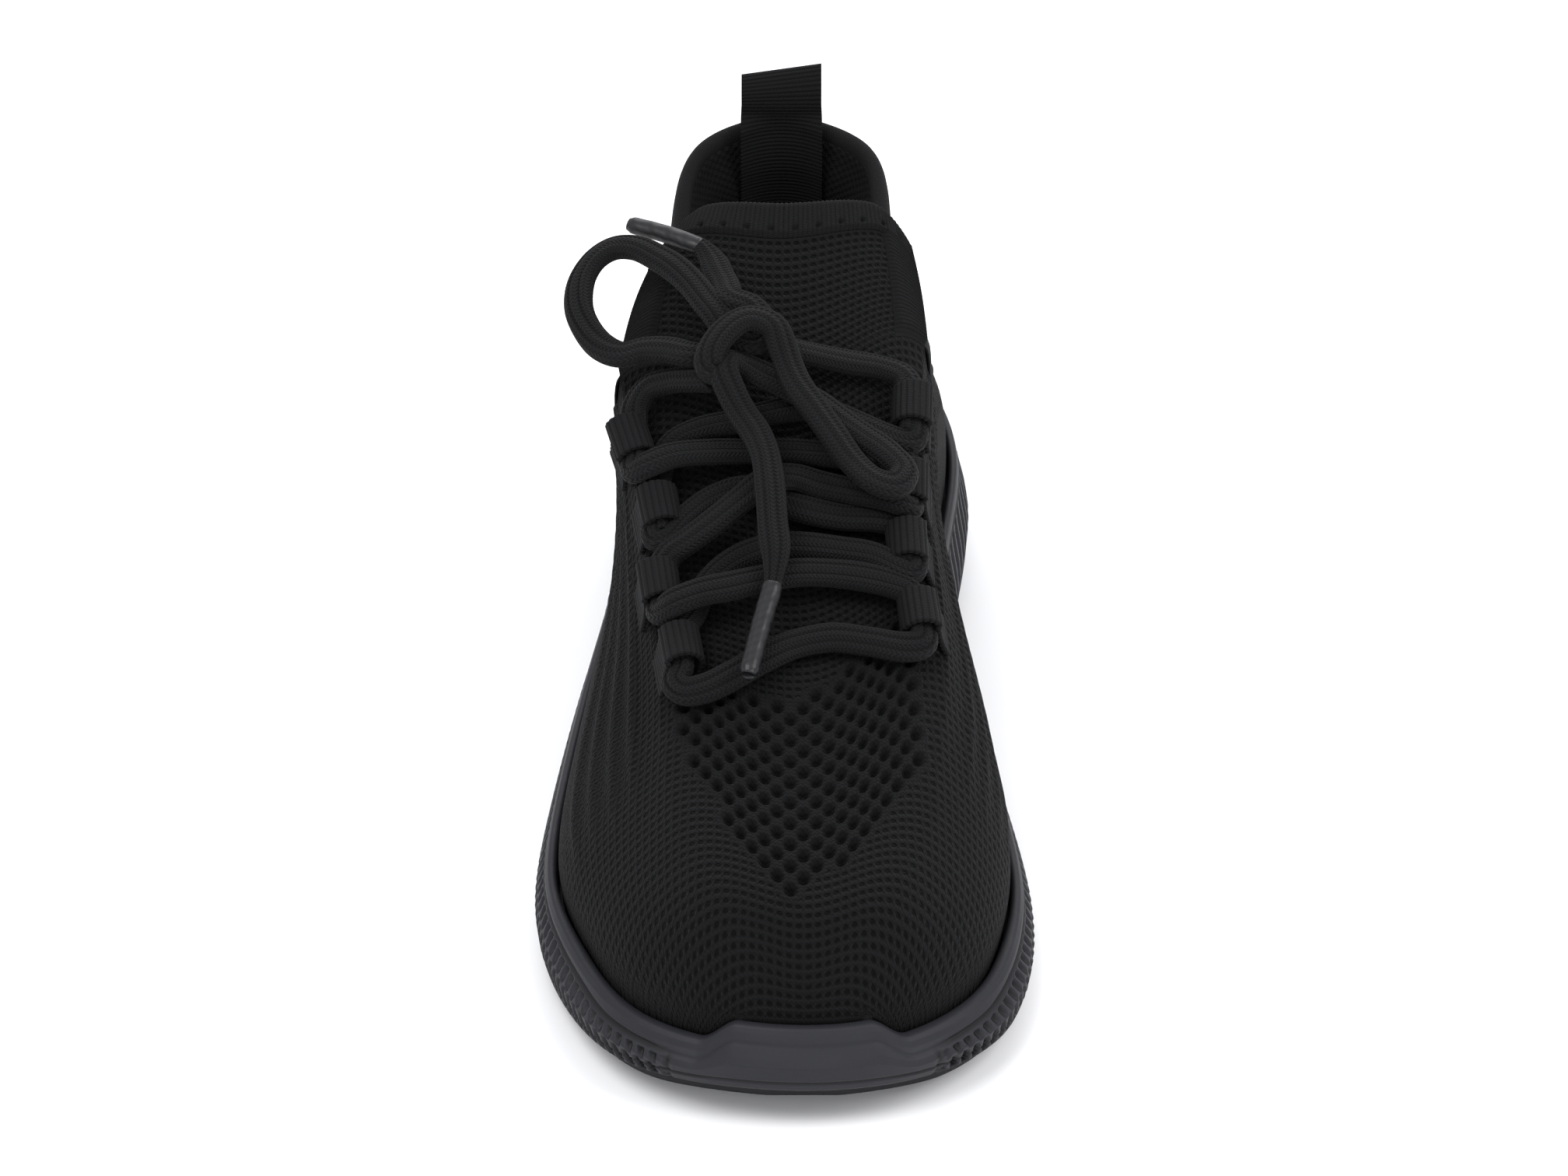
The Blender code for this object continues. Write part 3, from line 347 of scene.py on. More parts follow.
class Builder:
    """Collects grids into one mesh, each with UVs in millimetres and point attributes."""

    def __init__(self):
        self.points, self.faces, self.uv, self.masks, self.base = [], [], [], {}, 0

    def add(self, grid, u, v, flip=False, close_i=False, close_j=False, **masks):
        wide, long = grid.shape[:2]
        i = np.arange(wide if close_i else wide - 1)
        j = np.arange(long if close_j else long - 1)
        a = (i[:, None] * long + j[None]).ravel()
        b = (((i + 1) % wide)[:, None] * long + j[None]).ravel()
        c = (((i + 1) % wide)[:, None] * long + ((j + 1) % long)[None]).ravel()
        d = (i[:, None] * long + ((j + 1) % long)[None]).ravel()
        quads = np.stack([a, b, c, d], 1) + self.base
        self.faces.append(quads[:, ::-1] if flip else quads)
        self.points.append(grid.reshape(-1, 3))
        self.uv.append(np.stack([np.broadcast_to(u, (wide, long)).ravel(),
                                 np.broadcast_to(v, (wide, long)).ravel()], 1))
        for name, value in masks.items():
            self.masks.setdefault(name, []).append((self.base, np.broadcast_to(value, (wide, long)).ravel()))
        self.base += wide * long

    def fan(self, ring, flip=False):
        """Closes a ring of existing point numbers with one centre point."""
        points = np.concatenate(self.points)
        self.points.append(points[ring].mean(0)[None])
        self.uv.append(np.concatenate(self.uv)[ring].mean(0)[None])
        k = len(ring)
        tri = np.stack([ring, np.roll(ring, -1), np.full(k, self.base), np.full(k, self.base)], 1)
        self.faces.append(tri[:, ::-1] if flip else tri)
        self.base += 1

    def make(self, name, look, merge=0.02):
        """The mesh object; points nearer than `merge` millimetres become one, unless it is 0."""
        points = np.concatenate(self.points)
        quads = np.concatenate(self.faces)
        keep = np.arange(len(points))
        if merge:
            _, keep, index = np.unique(np.round(points / merge).astype(np.int64), axis=0,
                                       return_index=True, return_inverse=True)
            quads = index.reshape(-1)[quads]
        faces = [list(dict.fromkeys(quad)) for quad in quads.tolist()]
        data = bpy.data.meshes.new(name)
        data.from_pydata((points[keep] * MM).tolist(), [], [face for face in faces if len(face) > 2])
        uv = np.concatenate(self.uv)[keep]
        layer = data.uv_layers.new(name="cloth")
        corners = np.empty(len(data.loops), np.int32)
        data.loops.foreach_get("vertex_index", corners)
        layer.data.foreach_set("uv", (uv[corners] * 0.01).astype(np.float32).ravel())
        for mask, pieces in self.masks.items():
            value = np.zeros(self.base, np.float32)
            for start, part in pieces:
                value[start:start + len(part)] = part
            data.attributes.new(mask, "FLOAT", "POINT").data.foreach_set("value", value[keep])
        data.materials.append(look)
        data.shade_smooth()
        return place(name, data)


def place(name, data):
    made = bpy.data.objects.new(name, data)
    bpy.context.scene.collection.objects.link(made)
    return made


def thicken(obj, mm, offset=-1.0):
    solid = obj.modifiers.new("thickness", "SOLIDIFY")
    solid.thickness = mm * MM
    solid.offset = offset
    solid.use_even_offset = False


def settle(piece, slot, *nodes):
    """The piece rides with the shoe and stands for these CAD nodes; the slot is not used."""
    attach(piece, "shoe")
    if nodes:
        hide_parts(*nodes)


def chord_curve(points, spacing):
    """Evenly spaced points on a smooth curve through a route with uneven spacing."""
    p = np.array(points, float)
    t = np.concatenate([[0], np.cumsum(np.linalg.norm(np.diff(p, axis=0), axis=1)**0.5)])
    slope = np.gradient(p, axis=0) / np.gradient(t)[:, None]
    inner = ((p[1:-1] - p[:-2]) / (t[1:-1] - t[:-2])[:, None] * (t[2:] - t[1:-1])[:, None]
             + (p[2:] - p[1:-1]) / (t[2:] - t[1:-1])[:, None] * (t[1:-1] - t[:-2])[:, None])
    slope[1:-1] = inner / (t[2:] - t[:-2])[:, None]
    at = np.linspace(0, t[-1], 40 * len(p))
    i = np.clip(np.searchsorted(t, at, side="right") - 1, 0, len(p) - 2)
    h = (t[i + 1] - t[i])[:, None]
    f = ((at - t[i])[:, None]) / h
    fine = ((1 + 2 * f) * (1 - f)**2 * p[i] + f * (1 - f)**2 * h * slope[i]
            + f * f * (3 - 2 * f) * p[i + 1] + f * f * (f - 1) * h * slope[i + 1])
    gone = along(fine)
    count = int(gone[-1] / spacing) + 1
    even = np.linspace(0, gone[-1], count)
    return np.stack([np.interp(even, gone, fine[:, k]) for k in range(3)], 1), even


def smooth_rows(values, times):
    for _ in range(times):
        inner = (values[:-2] + values[1:-1] * 2 + values[2:]) / 4
        values = np.concatenate([values[:1], inner, values[-1:]])
    return values


def frames(path, hint, times):
    """The side and up directions at each path point; `hint` is the wished up direction."""
    tangent = unit(np.gradient(path, axis=0))
    up = hint - tangent * (hint * tangent).sum(1, keepdims=True)
    up = unit(smooth_rows(unit(up), times))
    up = unit(up - tangent * (up * tangent).sum(1, keepdims=True))
    return np.cross(tangent, up), up


# ---- materials -------------------------------------------------------------------------------

class Val:
    """A shader value that arithmetic turns into math nodes."""

    def __init__(self, tree, socket):
        self.tree, self.socket = tree, socket

    def do(self, kind, *others):
        node = self.tree.nodes.new("ShaderNodeMath")
        node.operation = kind
        for k, other in enumerate((self, *others)):
            if isinstance(other, Val):
                self.tree.links.new(other.socket, node.inputs[k])
            else:
                node.inputs[k].default_value = other
        return Val(self.tree, node.outputs[0])

    def __add__(self, other):
        return self.do("ADD", other)

    def __sub__(self, other):
        return self.do("SUBTRACT", other)

    def __mul__(self, other):
        return self.do("MULTIPLY", other)

    def __truediv__(self, other):
        return self.do("DIVIDE", other)

    def frac(self):
        return self.do("FRACT")

    def floor(self):
        return self.do("FLOOR")

    def abs(self):
        return self.do("ABSOLUTE")

    def wave(self):
        """A sine wave from 0 to 1, one turn for each whole number."""
        return (self * math.tau).do("SINE") * 0.5 + 0.5

    def ramp(self, low, high):
        node = self.tree.nodes.new("ShaderNodeMapRange")
        node.interpolation_type = "SMOOTHSTEP"
        self.tree.links.new(self.socket, node.inputs["Value"])
        node.inputs["From Min"].default_value = low
        node.inputs["From Max"].default_value = high
        return Val(self.tree, node.outputs["Result"])


class Look:
    """A principled material built from formulas in cloth coordinates."""

    def __init__(self, name, colour, rough, spec=0.4, sheen=0.0, coat=0.0):
        self.mat = bpy.data.materials.new(name)
        self.mat.use_nodes = True
        self.tree = self.mat.node_tree
        self.bsdf = self.tree.nodes["Principled BSDF"]
        self.colour = colour
        self.bsdf.inputs["Base Color"].default_value = (*colour, 1)
        self.bsdf.inputs["Roughness"].default_value = rough
        self.bsdf.inputs["Specular IOR Level"].default_value = spec
        self.bsdf.inputs["Sheen Weight"].default_value = sheen
        self.bsdf.inputs["Sheen Roughness"].default_value = 0.45
        self.bsdf.inputs["Coat Weight"].default_value = coat
        self.bsdf.inputs["Coat Roughness"].default_value = 0.15

    def uv(self):
        """Millimetres across and along the cloth."""
        node = self.tree.nodes.new("ShaderNodeUVMap")
        node.uv_map = "cloth"
        split = self.tree.nodes.new("ShaderNodeSeparateXYZ")
        self.tree.links.new(node.outputs[0], split.inputs[0])
        return Val(self.tree, split.outputs[0]) * 100.0, Val(self.tree, split.outputs[1]) * 100.0

    def mask(self, name):
        node = self.tree.nodes.new("ShaderNodeAttribute")
        node.attribute_name = name
        return Val(self.tree, node.outputs["Fac"])

    def noise(self, scale, detail=3.0, rough=0.6):
        place = self.tree.nodes.new("ShaderNodeTexCoord")
        node = self.tree.nodes.new("ShaderNodeTexNoise")
        node.inputs["Scale"].default_value = scale
        node.inputs["Detail"].default_value = detail
        node.inputs["Roughness"].default_value = rough
        self.tree.links.new(place.outputs["Object"], node.inputs["Vector"])
        return Val(self.tree, node.outputs["Fac"])

    def tint(self, shade):
        """Base colour times a shade value."""
        mix = self.tree.nodes.new("ShaderNodeMix")
        mix.data_type = "RGBA"
        mix.inputs["A"].default_value = (0, 0, 0, 1)
        mix.inputs["B"].default_value = (*self.colour, 1)
        mix.clamp_factor = False
        self.tree.links.new(shade.socket, mix.inputs["Factor"])
        self.tree.links.new(mix.outputs["Result"], self.bsdf.inputs["Base Color"])
        return self

    def bump(self, height, strength=1.0):
        """Height in millimetres."""
        node = self.tree.nodes.new("ShaderNodeBump")
        node.inputs["Strength"].default_value = strength
        node.inputs["Distance"].default_value = MM
        self.tree.links.new(height.socket, node.inputs["Height"])
        self.tree.links.new(node.outputs[0], self.bsdf.inputs["Normal"])
        return self

    def roughness(self, value):
        self.tree.links.new(value.socket, self.bsdf.inputs["Roughness"])
        return self


def dots(u, v, pu, pv, ru, rv, stagger):
    """Soft round dots on a lattice with pitches pu and pv and half sizes ru and rv."""
    row = (v / pv).floor()
    shift = row.do("FLOORED_MODULO", 2.0) * (0.5 * stagger)
    du = ((u / pu + shift).frac() - 0.5) * (pu / ru)
    dv = ((v / pv).frac() - 0.5) * (pv / rv)
    return (du * du + dv * dv).do("SQRT").ramp(1.25, 0.45)


def knit_look():
    look = Look("knit_yarn", (0.0056, 0.0056, 0.0060), 0.85, 0.085, 0.015)
    u, v = look.uv()
    wobble = look.noise(260, 2)
    uu, vv = u + (wobble - 0.5) * 0.35, v + (look.noise(240, 2) - 0.5) * 0.3
    open_dots, fine, hole, plain = (look.mask(n) for n in ("dimple", "fine", "hole", "rib"))
    big = dots(uu, vv, 2.0, 2.1, 0.79, 0.62, 0.0) * open_dots
    small = dots(uu, vv, 1.45, 1.5, 0.42, 0.36, 1.0) * fine
    # Stitches: small V shapes up each wale, and the fuzz of the yarn.
    stitch = (v / 1.05 + (u.frac() - 0.5).abs() * 0.9).wave()
    wale = u.wave()
    feather = (v / 1.5 + ((u / 5.0).frac() - 0.5).abs() * 2.2).wave()
    fuzz = look.noise(2600, 3, 0.7)
    height = (stitch * 0.18 + wale * 0.08 + fuzz * 0.15 + feather * plain * 0.22
              - big * 0.90 - small * 0.42)
    dark = (stitch * 0.30 + fuzz * 0.50 + look.noise(55, 2) * 0.16 + feather * plain * 0.25 + 0.34)
    # Painted shade: the large dimples, the small dimples and the openings are painted darker, as shade in the
    # knit's recesses.
    shade = dark * (big * -0.92 + 1.0) * (small * -0.6 + 1.0) * (hole * -0.92 + 1.0)
    return look.tint(shade).bump(height).mat


def rib_look(name, axis):
    """Ribbed knit or webbing: its ribs are in the mesh, its threads are here."""
    look = Look(name, (0.0060, 0.0060, 0.0064), 0.82, 0.09, 0.015)
    u, v = look.uv()
    a, b = (u, v) if axis == "u" else (v, u)
    thread = (b / 0.42 + (a / 0.9).floor() * 0.5).wave()
    cross = (a / 0.55).wave()
    fuzz = look.noise(2600, 3, 0.7)
    height = thread * 0.09 + cross * 0.04 + fuzz * 0.10
    groove = look.mask("groove")
    # Painted shade: the groove mask darkens the grooves between the ribs, the pinholes of the tongue band and
    # the stitch dents of the heel tab.
    shade = (thread * 0.16 + fuzz * 0.4 + look.noise(60, 2) * 0.15 + 0.52) * (groove * -0.82 + 1.0)
    return look.tint(shade).bump(height).mat


def webbing_look():
    look = Look("loop_webbing", (0.0070, 0.0070, 0.0076), 0.75, 0.11, 0.015)
    u, v = look.uv()
    cord = (v / LOOP_RIB).wave()
    weft = (u / 0.52 + (v / LOOP_RIB).floor() * 0.5).wave()
    fuzz = look.noise(2800, 3, 0.7)
    groove = look.mask("groove")
    height = cord * 0.12 + weft * 0.09 + fuzz * 0.07
    # Painted shade: the groove mask darkens the grooves between the webbing's ribs.
    shade = (cord * 0.22 + weft * 0.24 + fuzz * 0.35 + 0.40) * (groove * -0.85 + 1.0)
    return look.tint(shade).bump(height).mat


def braid_look():
    look = Look("lace_braid_yarn", (0.0078, 0.0078, 0.0084), 0.76, 0.10, 0.02)
    u, v = look.uv()
    # Herringbone: slanting stitches that turn round at each line of the braid.
    line = ((u / 1.5).frac() - 0.5).abs()
    slant = (v / 0.95 + line * 1.5).wave()
    seam = line.ramp(0.36, 0.5)
    fuzz = look.noise(2700, 3, 0.7)
    groove = look.mask("groove")
    height = slant * 0.26 - seam * 0.14 + fuzz * 0.10
    # Painted shade: the seams between the braid's lines and its two lengthwise grooves are painted darker.
    shade = (slant * 0.48 + fuzz * 0.40 + look.noise(90, 2) * 0.12 + 0.30) * (seam * -0.3 + 1.0)
    shade = shade * (groove * -0.55 + 1.0)
    return look.tint(shade).bump(height).mat


def lining_look():
    look = Look("heel_lining_mesh", (0.0050, 0.0050, 0.0053), 0.88, 0.08, 0.01)
    u, v = look.uv()
    p, q = (u + v) / 1.9, (u - v) / 1.9
    cell = ((p.frac() - 0.5).abs() + (q.frac() - 0.5).abs()).ramp(0.3, 0.62)
    fuzz = look.noise(2400, 3, 0.7)
    height = cell * 0.35 + fuzz * 0.12
    shade = cell * 0.42 + fuzz * 0.4 + 0.26
    return look.tint(shade).bump(height).mat


def rubber_look(name, colour, rough):
    look = Look(name, colour, rough, 0.22)
    speck = look.noise(900, 4, 0.65)
    cloud = look.noise(38, 3)
    groove = look.mask("groove")
    height = speck * 0.05 + look.noise(130, 2) * 0.09
    scuff = look.noise(75, 5, 0.75)
    # Painted shade: the groove mask darkens the sole's carved marks and grooves and the tread's cuts; the
    # specks, clouds and scuffs are the rubber's own tone and wear.
    shade = (speck * 0.16 + cloud * 0.26 + scuff * 0.24 + 0.66) * (groove * -0.88 + 1.0)
    worn = look.noise(22, 4, 0.6) * 0.20 + (rough - 0.08)
    return look.tint(shade).bump(height).roughness(worn).mat


def film_look():
    look = Look("aglet_film_clear", (0.011, 0.011, 0.012), 0.42, 0.22, 0.0, 0.12)
    u, v = look.uv()
    streak = look.noise(420, 2)
    twist = (v / 2.2 + u / 3.0).wave()
    shade = twist * 0.3 + streak * 0.5 + 0.45
    return look.tint(shade).bump(streak * 0.08 + twist * 0.02).mat


def foam_look(name, colour, scale):
    look = Look(name, colour, 0.9, 0.2)
    cells = look.noise(scale, 4, 0.75)
    return look.tint(cells * 0.7 + 0.6).bump(cells * 0.3).mat


def floor_look():
    look = Look("studio_floor", (0.86, 0.86, 0.865), 0.7, 0.2)
    paper = look.noise(30, 3)
    return look.tint(paper * 0.02 + 0.99).bump(paper * 0.02, 0.2).mat


# ---- camera and light ------------------------------------------------------------------------

LENS, DISTANCE, ELEVATION = 166.06, 1.6, 31
TARGET = (0, -0.000979, 0.045)
LIGHTS = {       # place, aim, size in metres, power in watts
    "key": ((-0.5, -0.5, 1.3), (0, 0, 0.04), (0.8, 0.8), 13),
    "fill": ((0.8, -0.3, 0.9), (0, 0, 0.04), (0.7, 0.7), 8),
    "front": ((0, -1.6, 0.5), (0, -0.05, 0.03), (1.2, 0.5), 7),
    "back": ((0.1, 1.1, 0.9), (0, 0, 0.06), (1.0, 0.6), 7),
}
FLOOR_RINGS, FLOOR_CORNERS = (0.5, 1.5, 4.0, 9.0), 96


def aim(direction):
    return direction.to_track_quat("-Z", "Y").to_euler()


def make_camera():
    data = bpy.data.cameras.new("camera")
    data.sensor_width = 36.0
    data.lens = LENS
    data.clip_end = 30.0
    camera = place("camera", data)
    elevation = math.radians(ELEVATION)
    back = Vector((0, -math.cos(elevation), math.sin(elevation)))
    camera.location = Vector(TARGET) + back * DISTANCE
    camera.rotation_euler = aim(-back)
    bpy.context.scene.camera = camera


def make_lights():
    world = bpy.data.worlds.new("studio")
    bpy.context.scene.world = world
    world.use_nodes = True
    background = world.node_tree.nodes["Background"]
    background.inputs[0].default_value = (0.95, 0.96, 1.0, 1)
    background.inputs[1].default_value = 0.85
    for name, (where, target, size, power) in LIGHTS.items():
        data = bpy.data.lights.new(name, "AREA")
        data.shape = "RECTANGLE"
        data.size, data.size_y = size
        data.energy = power
        light = place(name, data)
        light.location = where
        light.rotation_euler = aim(Vector(target) - Vector(where))


def make_floor():
    turns = [math.tau * k / FLOOR_CORNERS for k in range(FLOOR_CORNERS)]
    points = [(0, 0, 0)]
    for r in FLOOR_RINGS:
        points += [(r * math.cos(turn), r * math.sin(turn), 0) for turn in turns]
    faces = []
    for k in range(FLOOR_CORNERS):
        after = (k + 1) % FLOOR_CORNERS
        faces.append((0, 1 + k, 1 + after))
        for m in range(len(FLOOR_RINGS) - 1):
            a = 1 + m * FLOOR_CORNERS
            b = a + FLOOR_CORNERS
            faces.append((a + k, b + k, b + after, a + after))
    data = bpy.data.meshes.new("studio_floor")
    data.from_pydata(points, [], faces)
    data.materials.append(floor_look())
    place("studio_floor", data)


make_camera()
make_lights()
make_floor()


# ---- lace ------------------------------------------------------------------------------------

LACE_WIDTH, LACE_THICK, OVAL_POWER, GROOVE_SHARE = 6.6, 4.5, 0.82, 0.20
AGLET_RADIUS, AGLET_SIDES = 2.05, 32


def lace_route():
    """The whole lace, from the outer aglet through the knot and every loop to the inner aglet."""
    return (AGLET_OUT[:1] + END_OUT[::-1] + KNOT_TURN[::-1] + BOW_OUT[::-1] + KNOT_PASS[::-1]
            + LACE_RUN[::-1] + KNOT_WRAP + BOW_IN + KNOT_TUCK + END_IN + AGLET_IN[:1])


def oval(turn):
    """A braid's cross-section: an oval with two shallow lengthwise grooves."""
    x, z = np.cos(turn), np.sin(turn)
    x = np.sign(x) * abs(x)**OVAL_POWER
    z = np.sign(z) * abs(z)**OVAL_POWER
    grooves = ridges(x, (0.36, -0.36), 0.10)
    return x * LACE_WIDTH / 2, z * LACE_THICK / 2 * (1 - GROOVE_SHARE * grooves), grooves


def close_ends(tube, count, rings):
    """Caps both ends of a tube of rings with `count` points each."""
    tube.fan(np.arange(count))
    tube.fan(np.arange(count) + (rings - 1) * count, flip=True)


def make_lace():
    path, gone = chord_curve(lace_route(), 0.8)
    away = path - np.array([0, 20, 30])        # from inside the foot
    away[:, 1] *= 0.35
    side, up = frames(path, unit(away), 10)
    turn = np.linspace(0, math.tau, 40, endpoint=False)
    x, z, grooves = oval(turn)
    ends = np.minimum(gone, gone[-1] - gone)
    pinch = 0.68 + 0.32 * step(ends / 12)
    breath = 1 + 0.03 * np.sin(gone * 0.31) * np.sin(gone * 0.113)
    narrow = (0.86 + 0.14 * step(ends / 10))[:, None, None]
    ring = side[:, None] * x[None, :, None] * narrow + up[:, None] * z[None, :, None]
    grid = path[:, None] + ring * (pinch * breath)[:, None, None]
    around = along(np.column_stack([x, z]))
    braid = Builder()
    # The braid's two lengthwise grooves get painted shade through the groove mask.
    braid.add(grid, around[None], gone[:, None], close_j=True, flip=True, groove=grooves[None])
    close_ends(braid, len(turn), len(path))
    return braid.make("shoe_lace", braid_look(), merge=0), path, gone[-1]


def make_aglet(name, route, look):
    path, gone = chord_curve(route, 0.5)
    side, up = frames(path, np.tile([0.0, -0.3, 1.0], (len(path), 1)), 4)
    turn = np.linspace(0, math.tau, AGLET_SIDES, endpoint=False)
    share = gone / gone[-1]
    rounded = 0.5 * step((share - 0.93) / 0.07) + 0.25 * (1 - step(share / 0.03))
    radius = AGLET_RADIUS - 0.15 * share - rounded
    seam = 1 + 0.05 * np.exp(-((turn - 1.2) / 0.12)**2)
    ring = (side[:, None] * (np.cos(turn) * seam * 1.08)[None, :, None]
            + up[:, None] * (np.sin(turn) * seam * 0.92)[None, :, None])
    dents = 1 + 0.02 * np.sin(gone * 1.3)[:, None] * np.cos(turn * 3)[None]
    grid = path[:, None] + ring * radius[:, None, None] * dents[..., None]
    tip = Builder()
    tip.add(grid, (turn * 2)[None], gone[:, None], close_j=True, flip=True)
    close_ends(tip, AGLET_SIDES, len(path))
    return tip.make(name, look, merge=0)


lace, lace_path, lace_length = make_lace()
film = film_look()
aglets = [make_aglet("lace_aglet_outer", [END_OUT[-1]] + AGLET_OUT, film),
          make_aglet("lace_aglet_inner", [END_IN[-1]] + AGLET_IN, film)]
settle(lace, "lace_braid", "lace_crossings", "lace_bow_outer", "lace_bow_inner", "lace_end_outer",
       "lace_end_inner", "lace_knot")
settle(aglets[0], "aglet_film", "aglet_outer")
settle(aglets[1], "aglet_film", "aglet_inner")


# ---- knit upper ------------------------------------------------------------------------------

HOLE_EDGE = [(-24, -77), (-17, -72), (-1, -69), (15, -64), (27, -59.5), (34, -64), (33.5, -77),
             (31, -98), (20, -113), (8.4, -120.5), (1.4, -124.5), (-8, -116), (-18, -98), (-23.5, -86)]
HOLE_PITCH, HOLE_ROW, HOLE_DEEP = 5.6, 3.15, 1.6
FAR = 9.0                                        # farther than any opening reaches
FLANK_RIBS, RIB_HALF, RIB_HIGH = (9, 15, 21, 27), 1.5, 0.8
FLANK_LINES, TOP_LINES, REAR_LINES = 62, 56, 170
SKIRT_INSET, SKIRT_DROP = 0.8, 5.0
OPEN_Y = (-126, -58)                             # where the large openings are


def spaced(lengths, values, target):
    """Values whose spacing along a line follows the target spacing there."""
    need = np.cumsum(np.diff(lengths) / target((lengths[1:] + lengths[:-1]) / 2))
    need = np.concatenate([[0], need])
    count = int(math.ceil(need[-1]))
    return np.interp(np.linspace(0, need[-1], count + 1), need, values)


def inside(polygon, x, y):
    """True where a point lies inside the polygon."""
    p = np.array(polygon, float)
    q = np.roll(p, -1, 0)
    hit = np.zeros(np.shape(x), bool)
    for (ax, ay), (bx, by) in zip(p, q):
        if ay == by:
            continue
        hit ^= ((ay > y) != (by > y)) & (x < (bx - ax) * (y - ay) / (by - ay) + ax)
    return hit


def hole_field(u, v, polygon):
    """The nearest large opening of the staggered lattice: how deep a point lies in it (0 to 1),
    and its distance from the middle."""
    best = np.full(np.shape(u), FAR)
    for k in (-1, 0, 1):
        row = np.round(v / HOLE_ROW) + k
        shift = np.mod(row, 2) * HOLE_PITCH / 2
        cu = np.round((u - shift) / HOLE_PITCH) * HOLE_PITCH + shift
        cv = row * HOLE_ROW
        away = np.hypot((u - cu) / 1.28, (v - cv) / 1.45)
        best = np.minimum(best, np.where(inside(polygon, cu, cv), away, FAR))
    return step(1.45 - best), best


def with_skirt(grid):
    """The grid with a line added below its first one, inside the sole's cup."""
    low = grid[0].copy()
    low[:, :2] -= unit(low[:, :2]) * SKIRT_INSET
    low[:, 2] -= SKIRT_DROP
    return np.concatenate([low[None], grid])


def doubled(values):
    """Values for a grid with a skirt: the first line's are used for the skirt too."""
    return np.concatenate([values[:1], values])


def add_vamp(knit, side, rows, v_rows, polygon):
    """One side of the vamp, with its large openings and the ribs along the flank. It returns the
    width from the throat line to the middle line at the vamp's last row."""
    grid = front_surface(rows, side, np.linspace(0, 1, FLANK_LINES), np.linspace(0, 1, TOP_LINES))
    across = arc(grid, 0)
    u = (across[-1][None] - across) * side
    v = np.broadcast_to(v_rows[None], u.shape)
    hole, away = hole_field(u, v, polygon)
    lip = np.exp(-((away - 1.75) / 0.3)**2) * 0.22
    below = across[FLANK_LINES - 1][None] - across        # from the throat line down the flank
    late = step((rows - 0.36) / 0.16)[None]
    rib = ridges(below, FLANK_RIBS, RIB_HALF) * late * (below > 0)
    rim = step(across / 5)
    move = lip - hole * HOLE_DEEP + rib * RIB_HIGH * rim
    grid = grid + (grid_normals(grid) * -side) * move[..., None]
    fine_from = 4 if side < 0 else 16
    fine = step((below - fine_from) / 10) * late + (1 - late) * step((9 - across) / 6)
    fine = np.clip(fine, 0, 1)
    dimple = (1 - fine) * np.where(away < 2.3, 0.0, 1.0) * np.clip(1 - hole, 0, 1)
    knit.add(with_skirt(grid), doubled(u), doubled(v), flip=side > 0, hole=doubled(hole),
             dimple=doubled(dimple), fine=doubled(fine), rib=doubled(np.clip(rib, 0, 1) * rim))
    first = grid[:, 0]
    toe = np.stack([first - np.array([0, -SKIRT_INSET, SKIRT_DROP]), first], 1)
    knit.add(toe, u[:, :1], v[:, :1], flip=side > 0, hole=0.0, dimple=0.0, fine=1.0, rib=0.0)
    return across[-1, -1] - across[FLANK_LINES - 1, -1]


def add_tongue(knit, side, v_from):
    rows = np.linspace(0, 0.985, 66)
    tongue = tongue_grid(rows, side, np.linspace(0, 1, TOP_LINES))
    across = arc(tongue, 0)
    u = (across[-1][None] - across) * side
    v = np.broadcast_to(v_from + arc(tongue, 1)[-1][None], u.shape)
    dimple = step(rows / 0.1)[None] * 0.9 + 0.1
    knit.add(tongue, u, v, flip=side > 0, hole=0.0, dimple=dimple, fine=0.0, rib=0.0)


def add_quarter(knit, side, v_from, top_wide):
    """One side of the quarter, with the flank's ribs fading out."""
    rows = np.linspace(0, 1, REAR_LINES)
    rear = rear_surface(rows, side, np.linspace(0, 1, FLANK_LINES))
    across = arc(rear, 0)
    below = across[-1][None] - across
    fade = (1 - step((rows - 0.1) / 0.5))[None]
    rib = ridges(below, FLANK_RIBS, RIB_HALF) * fade * step(across / 5)
    rear = rear + (grid_normals(rear) * -side) * (rib * RIB_HIGH)[..., None]
    v = v_from + arc(rear, 1)[30][None]
    knit.add(with_skirt(rear), doubled((below + top_wide) * side), v, flip=side > 0,
             hole=0.0, dimple=0.0, fine=1.0, rib=np.clip(doubled(rib), 0, 1))


def make_knit():
    """The knitted upper with its tongue: rows lie closer where the large openings are."""
    dense = np.linspace(0, 1, 1200)
    line = front_surface(dense, -1, np.array([0.0, 1.0]), np.array([0.0, 1.0]))[-1]
    length = along(line)
    open_from, open_to = np.interp(OPEN_Y, line[:, 1], length)
    rows = spaced(length, dense, lambda d: np.where((d > open_from) & (d < open_to), 0.55, 0.95))
    v_rows = np.interp(rows, dense, length)
    polygon = [((x - 4) * 1.03, np.interp(y, line[:, 1], length)) for x, y in HOLE_EDGE]
    knit = Builder()
    for side in SIDES:
        top_wide = add_vamp(knit, side, rows, v_rows, polygon)
        add_tongue(knit, side, length[-1])
        add_quarter(knit, side, length[-1], top_wide)
    upper = knit.make("knit_upper_cloth", knit_look(), merge=0.03)
    thicken(upper, 1.4)
    settle(upper, "knit", "knit_upper")


# ---- collar, lining, tongue band ---------------------------------------------------------------

LINING_DEPTH = [(0.10, 3.8), (0.30, 5.4), (0.55, 8.2), (0.74, 9.7), (0.86, 9.2), (0.94, 6.6), (0.985, 4.2)]
CORNER_DROP, CORNER_SHARE, BAND_ROW = 0.20, 0.34, 0.83
BAND_RIB, BAND_RIB_HIGH = 1.02, 0.24


